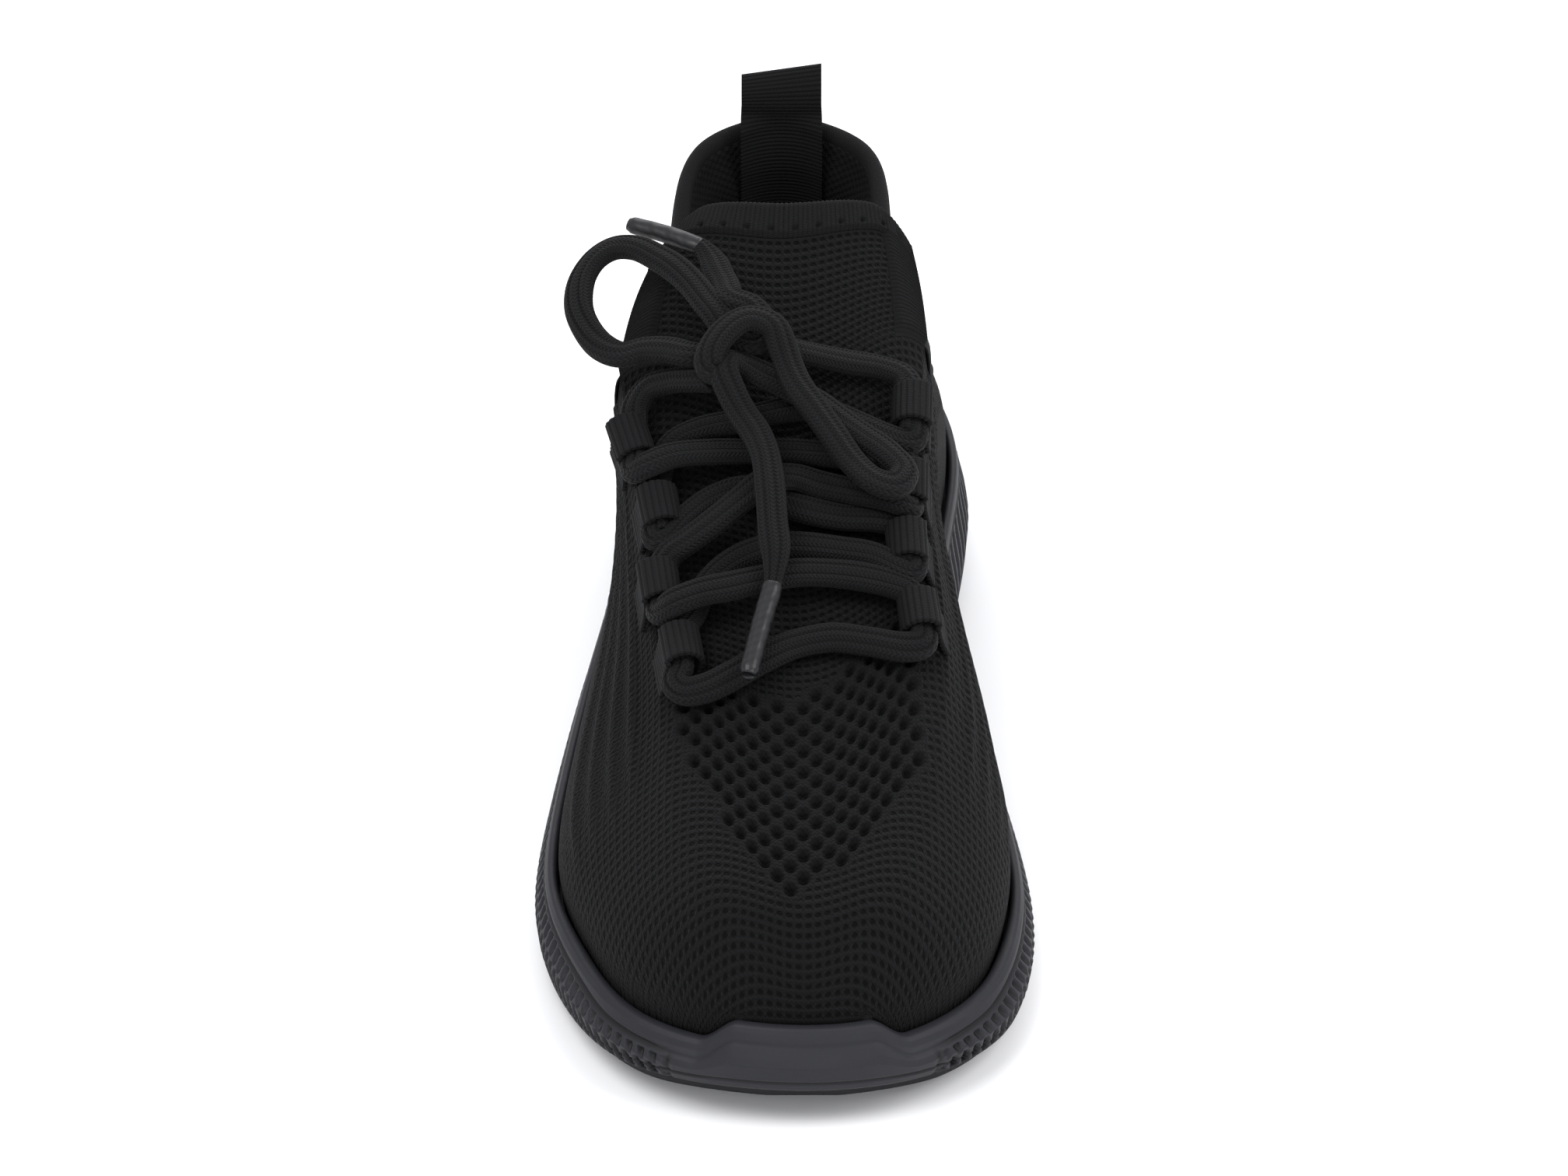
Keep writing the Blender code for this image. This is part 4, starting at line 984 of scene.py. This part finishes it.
def rear_frame(rows, side, s):
    """Surface points, outward and upward directions of the quarter at the given rows."""
    grid = rear_surface(rows, side, np.asarray(s, float))
    return grid, -quarter_inward(rows, side)[1], unit(grid[-1] - grid[-2])


def turn_over(centre, out, up, reach, start, count):
    """The lines of a rolled edge, from near the outside over the top to the inside."""
    lines = []
    for a in np.radians(np.linspace(start, 180, count)):
        lines.append(centre + (out * math.cos(a) + up * math.sin(a)) * reach)
    return lines


def make_collar():
    """The rolled band round the ankle: up the outside, over the edge and down inside."""
    rows = np.linspace(0.0, 1, 190)
    swell = (1.2 + 0.9 * step((rows - 0.1) / 0.3))[:, None]
    band = Builder()
    for side in SIDES:
        grid, outward, up = rear_frame(rows, side, [0.86, 0.90, 0.94, 0.97, 0.99, 1.0])
        lines = [grid[k] + outward * proud for k, proud in enumerate((0.05, 0.55, 0.8, 0.85))]
        centre = grid[5] - outward * swell - up * 1.2
        lines += turn_over(centre, outward, up, swell + 0.75, 0, 13)
        for drop in (1.5, 3.5, 6.0):
            lines.append(centre - outward * (swell + 0.75 - drop * 0.15) - up * drop)
        sheet = np.stack(lines)
        band.add(sheet, arc(sheet, 0), arc(sheet, 1)[4][None], flip=side > 0, groove=0.0)
    rim = band.make("collar_roll", rib_look("collar_knit_plain", "u"), merge=0.03)
    thicken(rim, 0.5)
    settle(rim, "collar_knit", "collar_binding")


def make_lining():
    """The padded mesh lining, from under the rolled edge down to the footbed."""
    s = np.linspace(0.10, 0.985, 40)
    rows = np.linspace(0.02, 1, 120)
    depth = np.interp(s, *zip(*LINING_DEPTH))
    depth = np.convolve(np.pad(depth, 3, mode="edge"), np.ones(7) / 7, "valid")
    deep = 2.6 + (depth[:, None] - 2.6) * step((rows - 0.02) / 0.3)[None]
    lining = Builder()
    for side in SIDES:
        grid, outward, _ = rear_frame(rows, side, s)
        grid = grid - outward[None] * deep[..., None]
        lining.add(grid, arc(grid, 0), arc(grid, 1)[20][None], flip=side < 0)
    made = lining.make("heel_lining_mesh", lining_look(), merge=0.03)
    thicken(made, 0.6)
    settle(made, "lining", "heel_lining")


def ribs_at(distance, pitch):
    """Round ribs from 0 to 1, one for each pitch."""
    return abs(np.sin(math.pi * distance / pitch))


def add_top_band(band, side):
    """Over the tongue's top: the ribs run along the tongue, so the columns lie close."""
    columns = np.linspace(0, 1, 150)
    rows = np.concatenate([np.linspace(BAND_ROW, 0.97, 16), [0.985, 1.0]])
    grid = tongue_grid(rows, side, columns)
    normal = grid_normals(grid) * -side
    across = arc(grid, 0)
    u = across[-1, -1] - across[:, -1:] * np.ones((1, len(rows)))
    rib = ribs_at(u, BAND_RIB)
    hem = step((rows - BAND_ROW) / 0.03)[None]
    pin = pinholes(u, arc(grid, 1), 5.0, 2.0, 0.6)
    height = 0.15 + 0.75 * hem + BAND_RIB_HIGH * rib * hem - pin * 0.7
    top = grid + normal * height[..., None]
    last = normal[:, -1]
    lines = [top[:, j] for j in range(len(rows))]
    upward = unit(np.gradient(grid, axis=1))[:, -1]
    lines += turn_over(grid[:, -1] - last * 0.35, last, upward, 1.25 + 0.22 * rib[:, :1], 20, 9)
    back = tongue_grid(np.array([0.97, 0.90, 0.82]), side, columns)
    lines += [back[:, j] - last * 1.6 for j in range(3)]
    sheet = np.stack(lines, 1)
    # Painted shade for the grooves between the ribs and for the pinholes, carried by the groove mask.
    groove = np.broadcast_to((np.clip(1 - rib * 2.2, 0, 1) * 0.8)[:, :1], sheet.shape[:2])
    pins = np.concatenate([pin, np.zeros((len(columns), sheet.shape[1] - len(rows)))], 1)
    band.add(sheet, across[:, -1:], arc(sheet, 1), flip=side > 0, groove=np.clip(groove + pins, 0, 1))


def add_edge_band(band, side):
    """Up the tongue's edge: the ribs run across the strip, so the rows lie close."""
    rows = np.linspace(0.0, 0.99, 250)
    shares = np.array([0.25, 0.24, 0.225, 0.205, 0.18, 0.15, 0.12, 0.09, 0.06, 0.035, 0.015, 0.0])
    grid = tongue_grid(rows, side, shares)
    normal = grid_normals(grid) * side
    gone = arc(grid, 1)[0]
    rib = ribs_at(gone, BAND_RIB)
    start = step(rows / 0.12)
    hem = step((0.25 - shares) / 0.04)[:, None] * start[None]
    grid = grid + normal * (0.05 + 0.7 * hem + BAND_RIB_HIGH * rib[None] * hem)[..., None]
    base = tongue_grid(rows, side, np.array([0.0, 0.02]))
    outward = unit(base[0] - base[1])
    last = normal[-1]
    reach = (1.2 + 0.2 * rib[:, None]) * (0.35 + 0.65 * start[:, None])
    lines = list(grid) + turn_over(base[0] - last * 0.45, last, outward, reach, 20, 8)
    lines.append(base[1] - last * 1.65 - outward * 2.0)
    sheet = np.stack(lines)
    # Painted shade for the grooves between the ribs, carried by the groove mask.
    groove = np.clip(1 - rib * 2.2, 0, 1)[None] * 0.8
    band.add(sheet, gone[None], arc(sheet, 0), flip=side < 0, groove=groove)


def make_tongue_band():
    """The ribbed band up both edges of the tongue and over its top."""
    band = Builder()
    for side in SIDES:
        add_top_band(band, side)
        add_edge_band(band, side)
    made = band.make("tongue_rib_band", rib_look("tongue_rib_knit", "u"), merge=0.02)
    thicken(made, 0.35)
    settle(made, "rib_band", "tongue_band")


def tongue_grid(rows, side, shares):
    """The tongue's surface with its top corners rounded off."""
    shares = np.asarray(shares, float)
    fine = np.linspace(0, 1, 240)
    dense = tongue_surface(fine, side, shares)
    corner = 1 - CORNER_DROP * (1 - np.clip(shares / CORNER_SHARE, 0, 1))**2
    grid = np.empty((len(shares), len(rows), 3))
    for k, cap in enumerate(corner):
        for axis in range(3):
            grid[k, :, axis] = np.interp(rows * cap, fine, dense[k, :, axis])
    return grid


def pinholes(u, v, pitch, line, size):
    """One row of pinholes across the band."""
    du = (np.mod(u / pitch, 1) - 0.5) * pitch
    return np.exp(-(du / size)**2 - ((v - line) / (size * 0.9))**2)


make_knit()
make_collar()
make_lining()
make_tongue_band()


# ---- sole ------------------------------------------------------------------------------------

SOLE_UNDER = 3.0                 # the foam starts above the ground by the treads' thickness
BARS_PITCH, BARS_SLANT = 5.2, 9.0
TREAD_TOP, TREAD_INSET, TREAD_ROUND, TREAD_TIP = 2.7, 5.0, 22.0, 9.0
TREAD_TOE, TREAD_HEEL, TREAD_PITCH, TREAD_CUT = -139.5, 139.5, 9.0, 1.4
CAP_INSET = 15.0
FOOTBED_INSET, FOOTBED_TOP, FOOTBED_LOW = 10.4, 6.3, 2.5


def dashes(u, z, pitch_u, pitch_z, long, high, slant):
    """Rice-grain marks in staggered rows: 1 inside a mark, 0 outside."""
    row = np.floor(z / pitch_z)
    uu = u + z * slant + row * pitch_u * 0.5
    du = (np.mod(uu / pitch_u, 1) - 0.5) * pitch_u
    dz = (np.mod(z / pitch_z, 1) - 0.5) * pitch_z
    return step(1.6 - np.hypot(du / high, dz / long) * 1.6 + 0.3)


def sole_profile():
    """The side wall from the ground up: insets as shares of the wall, heights as shares."""
    shares = np.linspace(0.05, 0.92, 52)
    insets = np.interp(shares, [0.05, 0.22, 0.48, 0.60, 0.80, 0.94], [0.23, 0.10, 0.0, 0.1, 0.38, 0.5])
    low = [(0.9, 0.0), (0.5, 0.0), (0.36, 0.0), (0.30, 0.01), (0.26, 0.03)]
    high = [(0.53, 0.94), (0.56, 0.965), (0.60, 0.985), (0.66, 0.997), (0.74, 1.0), (0.84, 1.0)]
    return np.array(low + list(zip(insets, shares)) + high).T


def carving(outline, around, drop, share, rise):
    """The wall's marks: how far each point moves in, and how much painted shade darkens its groove."""
    from_middle = abs(outline[:, 0] - BUMPER_CENTRE)
    front = step((-outline[:, 1] - 112) / 14)[None] * np.ones_like(drop)
    calm = front * (1 - step((from_middle - 27) / 7))[None]
    band = 2.7 + 0.6 * front
    zone = step((drop - band - 0.7) / 0.6) * step((share[:, None] - 0.05) / 0.05) * (1 - calm)
    line = np.exp(-((drop - band) / 0.42)**2) * (1 - calm * 0.75)
    lower = np.exp(-((rise - 2.6) / 0.35)**2) * step((share[:, None] - 0.03) / 0.03)
    back = step((outline[:, 1] - 10) / 40)[None]
    grains = dashes(around[None], drop, 3.3, 6.4, 3.2, 1.12, 0.30)
    slope = 0.5 + 0.5 * np.sin(math.tau * (around[None] / BARS_PITCH - drop / BARS_SLANT))
    bars = 1 - step(slope * 1.8 - 0.4)
    marks = (grains * (1 - back) + bars * back) * zone
    notch = front * ridges(from_middle, (28.5,), 0.55)[None] * step((drop - 3) / 2)
    return (marks * 1.45 + line * 0.8 + lower * 0.45 + notch * 0.5,
            np.clip(marks + line + lower * 0.7 + notch * 0.8, 0, 1))


def make_sole():
    """The foam sole: carved side wall, rim band, groove line and the cup the knit drops into."""
    at = np.linspace(0, len(SOLE_PLAN), 1500, endpoint=False)
    outline = plan(at)
    around = along(outline)
    width = level(WALL, outline[:, 1])
    low = level(SPRING, outline[:, 1]) + SOLE_UNDER
    rim = rim_height(wall(at))
    tall = rim - low
    inset, share = sole_profile()
    z = low[None] + share[:, None] * tall[None]
    move, shade = carving(outline, around, (1 - share)[:, None] * tall[None], share, z - low)
    xy = plan(at[None], (inset[:, None] * width[None] + move)[..., None])
    sole = Builder()
    sole.add(np.concatenate([xy, z[..., None]], 2), around[None], z, close_j=True, flip=True, groove=shade)

    def add_lines(lines, flip):
        """Lines round the sole, each an inset as a share of the wall, and its heights."""
        sheet = np.stack([np.column_stack([plan(at, (width * k)[:, None]), zz]) for k, zz in lines])
        sole.add(sheet, around[None], np.arange(len(lines))[:, None], close_j=True, flip=flip, groove=0.0)

    # Over the rim, down the inside wall and across the bed, then the underside.
    bed = level(BED, outline[:, 1])
    add_lines([(0.84, rim), (0.92, rim - 0.25), (0.985, rim - 0.8), (1.0, rim - 1.5),
               (1.0, bed * 0.6 + rim * 0.4), (1.04, bed + 1.0), (1.12, bed), (1.6, bed), (2.6, bed),
               (3.8, bed)], True)
    add_lines([(k, low) for k in (0.9, 1.2, 1.8, 2.4, 2.9)], False)
    rubber = rubber_look("sole_foam", (0.0125, 0.0127, 0.0160), 0.52)
    settle(sole.make("sole_unit", rubber, merge=0.01), "sole_rubber", "midsole")
    cap_sheet("sole_bed", at[::6], (bed + 0.15)[::6], rubber)
    cap_sheet("sole_base", at[::6], (low + 0.05)[::6], rubber)


def cap_sheet(name, at, z, look):
    """A flat inner face closing the foam sole, a web across from side to side."""
    ring = np.column_stack([plan(at, np.full((len(at), 1), CAP_INSET)), z])
    rows = np.linspace(0, 1, 12)[:, None, None]
    y = ring[:, 1] * 0.86
    order = np.argsort(ring[:, 1])
    middle = np.column_stack([np.ones(len(at)), y, np.interp(y, ring[order, 1], z[order])])
    sheet = ring[None] * (1 - rows) + middle[None] * rows
    face = Builder()
    face.add(sheet, sheet[..., 0], sheet[..., 1], close_j=True, groove=0.0)
    made = face.make(name, look, merge=0.01)
    thicken(made, 0.6, 0.0)
    settle(made, "sole_rubber")


def rounded(distance, radius):
    """A quarter circle's rise from 0 to 1 over the given distance from an end."""
    return np.sqrt(np.clip(1 - (1 - np.clip(distance / radius, 0, 1))**2, 0, 1))


def tread_edge(first, ys):
    """One side's line of the tread, from the toe's end of the outline round to the heel."""
    line = plan(np.linspace(first, PLAN_HEEL, 600), np.full((600, 1), TREAD_INSET))
    return np.interp(ys, line[:, 1], line[:, 0])


def make_tread(name, node, y0, y1, look):
    """A thin rubber tread with chevron grooves, its ground face flat."""
    toe = y0 < TREAD_TOE
    y0, y1 = max(y0, TREAD_TOE), min(y1, TREAD_HEEL)
    ys = (y0 + y1) / 2 - (y1 - y0) / 2 * np.cos(np.linspace(0, math.pi, 300))
    x_left = tread_edge(0.5, ys)
    x_right = tread_edge(len(SOLE_PLAN) - 0.5, ys)
    inner, outer = (y1 - ys, ys - y0) if toe else (ys - y0, y1 - ys)
    reach = ((x_right - x_left) / 2 * (0.3 + 0.7 * rounded(inner, TREAD_ROUND))
             * (0.55 + 0.45 * rounded(outer, TREAD_TIP)))
    across = np.linspace(-1, 1, 46)
    x = ((x_left + x_right) / 2)[:, None] + across[None] * reach[:, None] * 0.995
    y = np.broadcast_to(ys[:, None], x.shape)
    spring = level(SPRING, ys)[:, None]
    wave = np.sin(math.tau * (ys[:, None] / TREAD_PITCH + abs(across[None]) * 0.5))
    cut = step((wave - 0.62) / 0.2) * step((0.93 - abs(across[None])) / 0.05)
    grid = np.stack([x, y, spring + cut * TREAD_CUT], 2)
    top = np.stack([x, y, np.broadcast_to(spring + TREAD_TOP, x.shape)], 2)
    face = Builder()
    # The tread's cuts get painted shade through the groove mask.
    face.add(grid, x, y, groove=cut * 0.5)
    face.add(top, x, y, flip=True, groove=0.0)
    for k in (0, -1):
        side = np.stack([grid[:, k], top[:, k]], 1)
        face.add(side, side[..., 0], side[..., 1], flip=k == 0, groove=0.0)
        end = np.stack([grid[k], top[k]], 0)
        face.add(end, end[..., 0], end[..., 1], flip=k == 0, groove=0.0)
    settle(face.make(name, look, merge=0.01), "tread_rubber", node)


def make_footbed():
    """The insole: a thin foam sheet with a cloth top and a rounded rim."""
    count = 700
    at = np.linspace(0, len(SOLE_PLAN), count, endpoint=False)
    middle = np.column_stack([np.ones(count), plan(at)[:, 1] * 0.80])
    edge = plan(at, np.full((count, 1), FOOTBED_INSET))
    rows = np.linspace(0, 1, 60)[:, None, None] ** 0.85
    xy = edge[None] * (1 - rows) + middle[None] * rows
    z = level(BED, xy[..., 1]) + FOOTBED_TOP - (1 - step(rows[..., 0] / 0.10)) * 0.9
    z[0] -= 0.4
    grid = np.concatenate([xy, z[..., None]], 2)
    low = grid[0].copy()
    low[:, 2] = level(BED, low[:, 1]) + FOOTBED_LOW
    pad = Builder()
    pad.add(grid, xy[..., 0], xy[..., 1], close_j=True)
    pad.add(np.stack([low, grid[0]]), at[None], np.array([[0], [1]]), close_j=True)
    made = pad.make("footbed", foam_look("footbed_cloth", (0.008, 0.008, 0.0085), 1800), merge=0.01)
    settle(made, "insole_foam", "insole")


tread_look = rubber_look("tread_rubber_plain", (0.008, 0.008, 0.0095), 0.6)
make_sole()
make_tread("tread_forefoot", "outsole_forefoot", -146, -8, tread_look)
make_tread("tread_heel", "outsole_heel", 48, 146, tread_look)
make_footbed()


# ---- lace loops --------------------------------------------------------------------------------

LOOP_WIDE, LOOP_ROUND, LOOP_REACH, LOOP_RIB = 10.4, 4.1, 7.6, 1.35
HALF_THICK = 0.36                # half the thickness of the webbing between its ribs


def ground(side, place):
    """The nearest point of the vamp and the way out of it."""
    grid = front_surface(np.linspace(0.3, 1, 71), side, np.linspace(0.6, 1, 21), np.linspace(0, 0.5, 11))
    away = np.linalg.norm(grid - np.array(place), axis=2)[1:-1, 1:-1]
    i, j = np.unravel_index(away.argmin(), away.shape)
    normal = np.cross(grid[i + 2, j + 1] - grid[i, j + 1], grid[i + 1, j + 2] - grid[i + 1, j])
    return grid[i + 1, j + 1], unit(normal) * math.copysign(1, normal[2])


def webbing_strip(name, look, gone, middle, out, half, across, groove, flip):
    """A woven strip round its middle surface [across, along]."""
    strip = Builder()
    strip.add(ribbon(middle, out, half[..., None]), both(across[:, None]), gone[None], close_i=True,
              groove=both(groove), flip=flip)
    return strip.make(name, look, merge=0)


def loop_line(radius, height):
    """A teardrop seen along the loop's fold, x outward and y up: round the lace, then both legs
    together toward the outside."""
    turn = np.linspace(-math.pi * 0.76, math.pi * 0.76, 40)
    bend = np.stack([-np.cos(turn) * radius, np.sin(turn) * radius], 1)
    foot = 0.9 - height
    top_leg = bezier_line([bend[-1], (1.6, radius * 0.98), (LOOP_REACH * 0.62, foot + 2.0),
                           (LOOP_REACH + 0.4, foot - 1.7)], 18)
    low_leg = bezier_line([bend[0], (1.0, -radius * 0.9), (LOOP_REACH * 0.5, foot - 0.3),
                           (LOOP_REACH - 1.6, foot - 1.9)], 16)
    line = np.concatenate([low_leg[::-1], bend[1:-1], top_leg])
    return chord_curve([(x, y, 0) for x, y in line], 0.16)


def make_loop(name, node, n, side, look):
    """A folded strip of webbing round the lace, both its ends running into the knit."""
    places = np.array(LOOPS[side])
    foot, normal = ground(side, places[n])
    ahead = places[min(n + 1, 3)] - places[max(n - 1, 0)]
    ahead = unit(ahead - normal * (ahead @ normal))
    outward = np.cross(ahead, normal)
    outward *= math.copysign(1, outward[0] * side)
    height = max((places[n] - foot) @ normal, 3.6)
    centre = foot + normal * height
    line, gone = loop_line(min(LOOP_ROUND, height - 0.3), height)
    across = np.linspace(-0.5, 0.5, 26) * LOOP_WIDE
    pull = step(np.clip((gone[-1] - abs(gone - gone[-1] / 2) * 2) / gone[-1], 0, 1))[None]
    tangent = unit(np.gradient(line, axis=0))
    facing = np.stack([-tangent[:, 1], tangent[:, 0]], 1)
    rib = ribs_at(gone, LOOP_RIB)
    wave = 0.18 * np.sin(gone / 2.1 + n)[None] * (across / LOOP_WIDE)[:, None]
    x = line[:, 0][None] + facing[:, 0][None] * wave
    y = line[:, 1][None] + facing[:, 1][None] * wave
    middle = (centre[None, None] + outward * x[..., None] + normal * y[..., None]
              + ahead * (across[:, None] * (1 - 0.10 * pull))[..., None])
    out = (outward * facing[:, :1] + normal * facing[:, 1:])[None]
    # Painted shade for the grooves between the webbing's ribs, carried by the groove mask.
    groove = np.clip(1 - rib * 2.0, 0, 1)[None] * np.clip(pull * 1.6, 0.2, 1) * np.ones((len(across), 1))
    made = webbing_strip(name, look, gone, middle, out, (HALF_THICK + 0.24 * rib)[None], across, groove,
                         side > 0)
    settle(made, "webbing", node)


def bezier_line(points, count):
    a, b, c, d = (np.array([p], float) for p in points)
    return bezier(a, b, c, d, np.linspace(0, 1, count))[:, 0]


webbing = webbing_look()
for n in range(4):
    make_loop(f"webbing_loop_outer_{n + 1}", f"lace_loop_outer_{n + 1}", n, -1, webbing)
    make_loop(f"webbing_loop_inner_{n + 1}", f"lace_loop_inner_{n + 1}", n, 1, webbing)


# ---- heel tab ----------------------------------------------------------------------------------

# The strip's line in (y, z): up inside the heel, round the fold, down outside to the seam.
TAB_LINE = [(131.8, 40), (132.0, 48), (131.8, 58), (130.8, 68), (129.4, 77), (128.6, 83), (128.9, 88),
            (129.3, 91.0), (129.2, 95), (128.2, 99), (128.9, 102.9), (131.9, 105.2), (134.9, 103.2),
            (135.8, 99.3), (134.6, 95.6), (132.9, 92.8), (131.2, 91.2)]
TAB_WIDE, TAB_RIB, TAB_SEAM, TAB_STITCH = 19.0, 0.94, 92.6, 2.4


def make_tab():
    """One strip of ribbed webbing, sewn inside the heel, folded back on itself above the collar."""
    line, gone = chord_curve([(0, y, z) for y, z in TAB_LINE], 0.118)
    line_y, line_z = line[:, 1], line[:, 2]
    across = np.linspace(-0.5, 0.5, 44) * TAB_WIDE
    share = (across / TAB_WIDE)[:, None]
    tangent = unit(np.gradient(line, axis=0))
    facing = np.stack([np.zeros(len(line)), -tangent[:, 2], tangent[:, 1]], 1)[None]
    rib = ribs_at(gone, TAB_RIB)[None] * np.ones((len(across), 1))
    above = step((line_z - 92) / 5)[None]
    bow = 4.0 * (2 * share)**2 * (1 - above) * (line_y < 132.5)[None]
    x = TAB_X + across[:, None] * (1.0 - 0.02 * above)
    y = line_y[None] - bow
    z = line_z[None] + 3.0 * share * step((line_z - 98) / 8)[None]
    seam = np.exp(-((line_z - TAB_SEAM) / 0.5)**2)[None] * (line_y > 130.3)[None]
    stitch = ribs_at(across, TAB_STITCH)[:, None] * seam
    # Painted shade for the grooves between the ribs and for the stitch dents at the seam, carried by the
    # groove mask.
    groove = np.clip(1 - rib * 1.35, 0, 1) + np.clip(stitch * 0.8, 0, 1)
    made = webbing_strip("heel_pull_tab", rib_look("heel_tab_webbing", "v"), gone, np.stack([x, y, z], 2),
                         facing, HALF_THICK + rib * 0.2 - stitch * 0.15, across, np.clip(groove, 0, 1), False)
    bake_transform(made)
    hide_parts("pull_tab", "pull_tab_leg")


make_tab()


# ---- inner parts kept from the CAD model ---------------------------------------------------------

for node, look in (("strobel_board", foam_look("board_fibre", (0.20, 0.19, 0.17), 900)),
                   ("toe_puff", foam_look("puff_sheet", (0.10, 0.10, 0.10), 700)),
                   ("heel_counter", foam_look("counter_sheet", (0.10, 0.10, 0.10), 700)),
                   ("collar_foam", foam_look("collar_foam_cells", (0.08, 0.08, 0.085), 1100))):
    materials = bpy.data.objects[node].data.materials
    materials.clear()
    materials.append(look)

# ---- view transform ------------------------------------------------------------------------------

bpy.context.scene.view_settings.view_transform = "Standard"
bpy.context.view_layer.update()
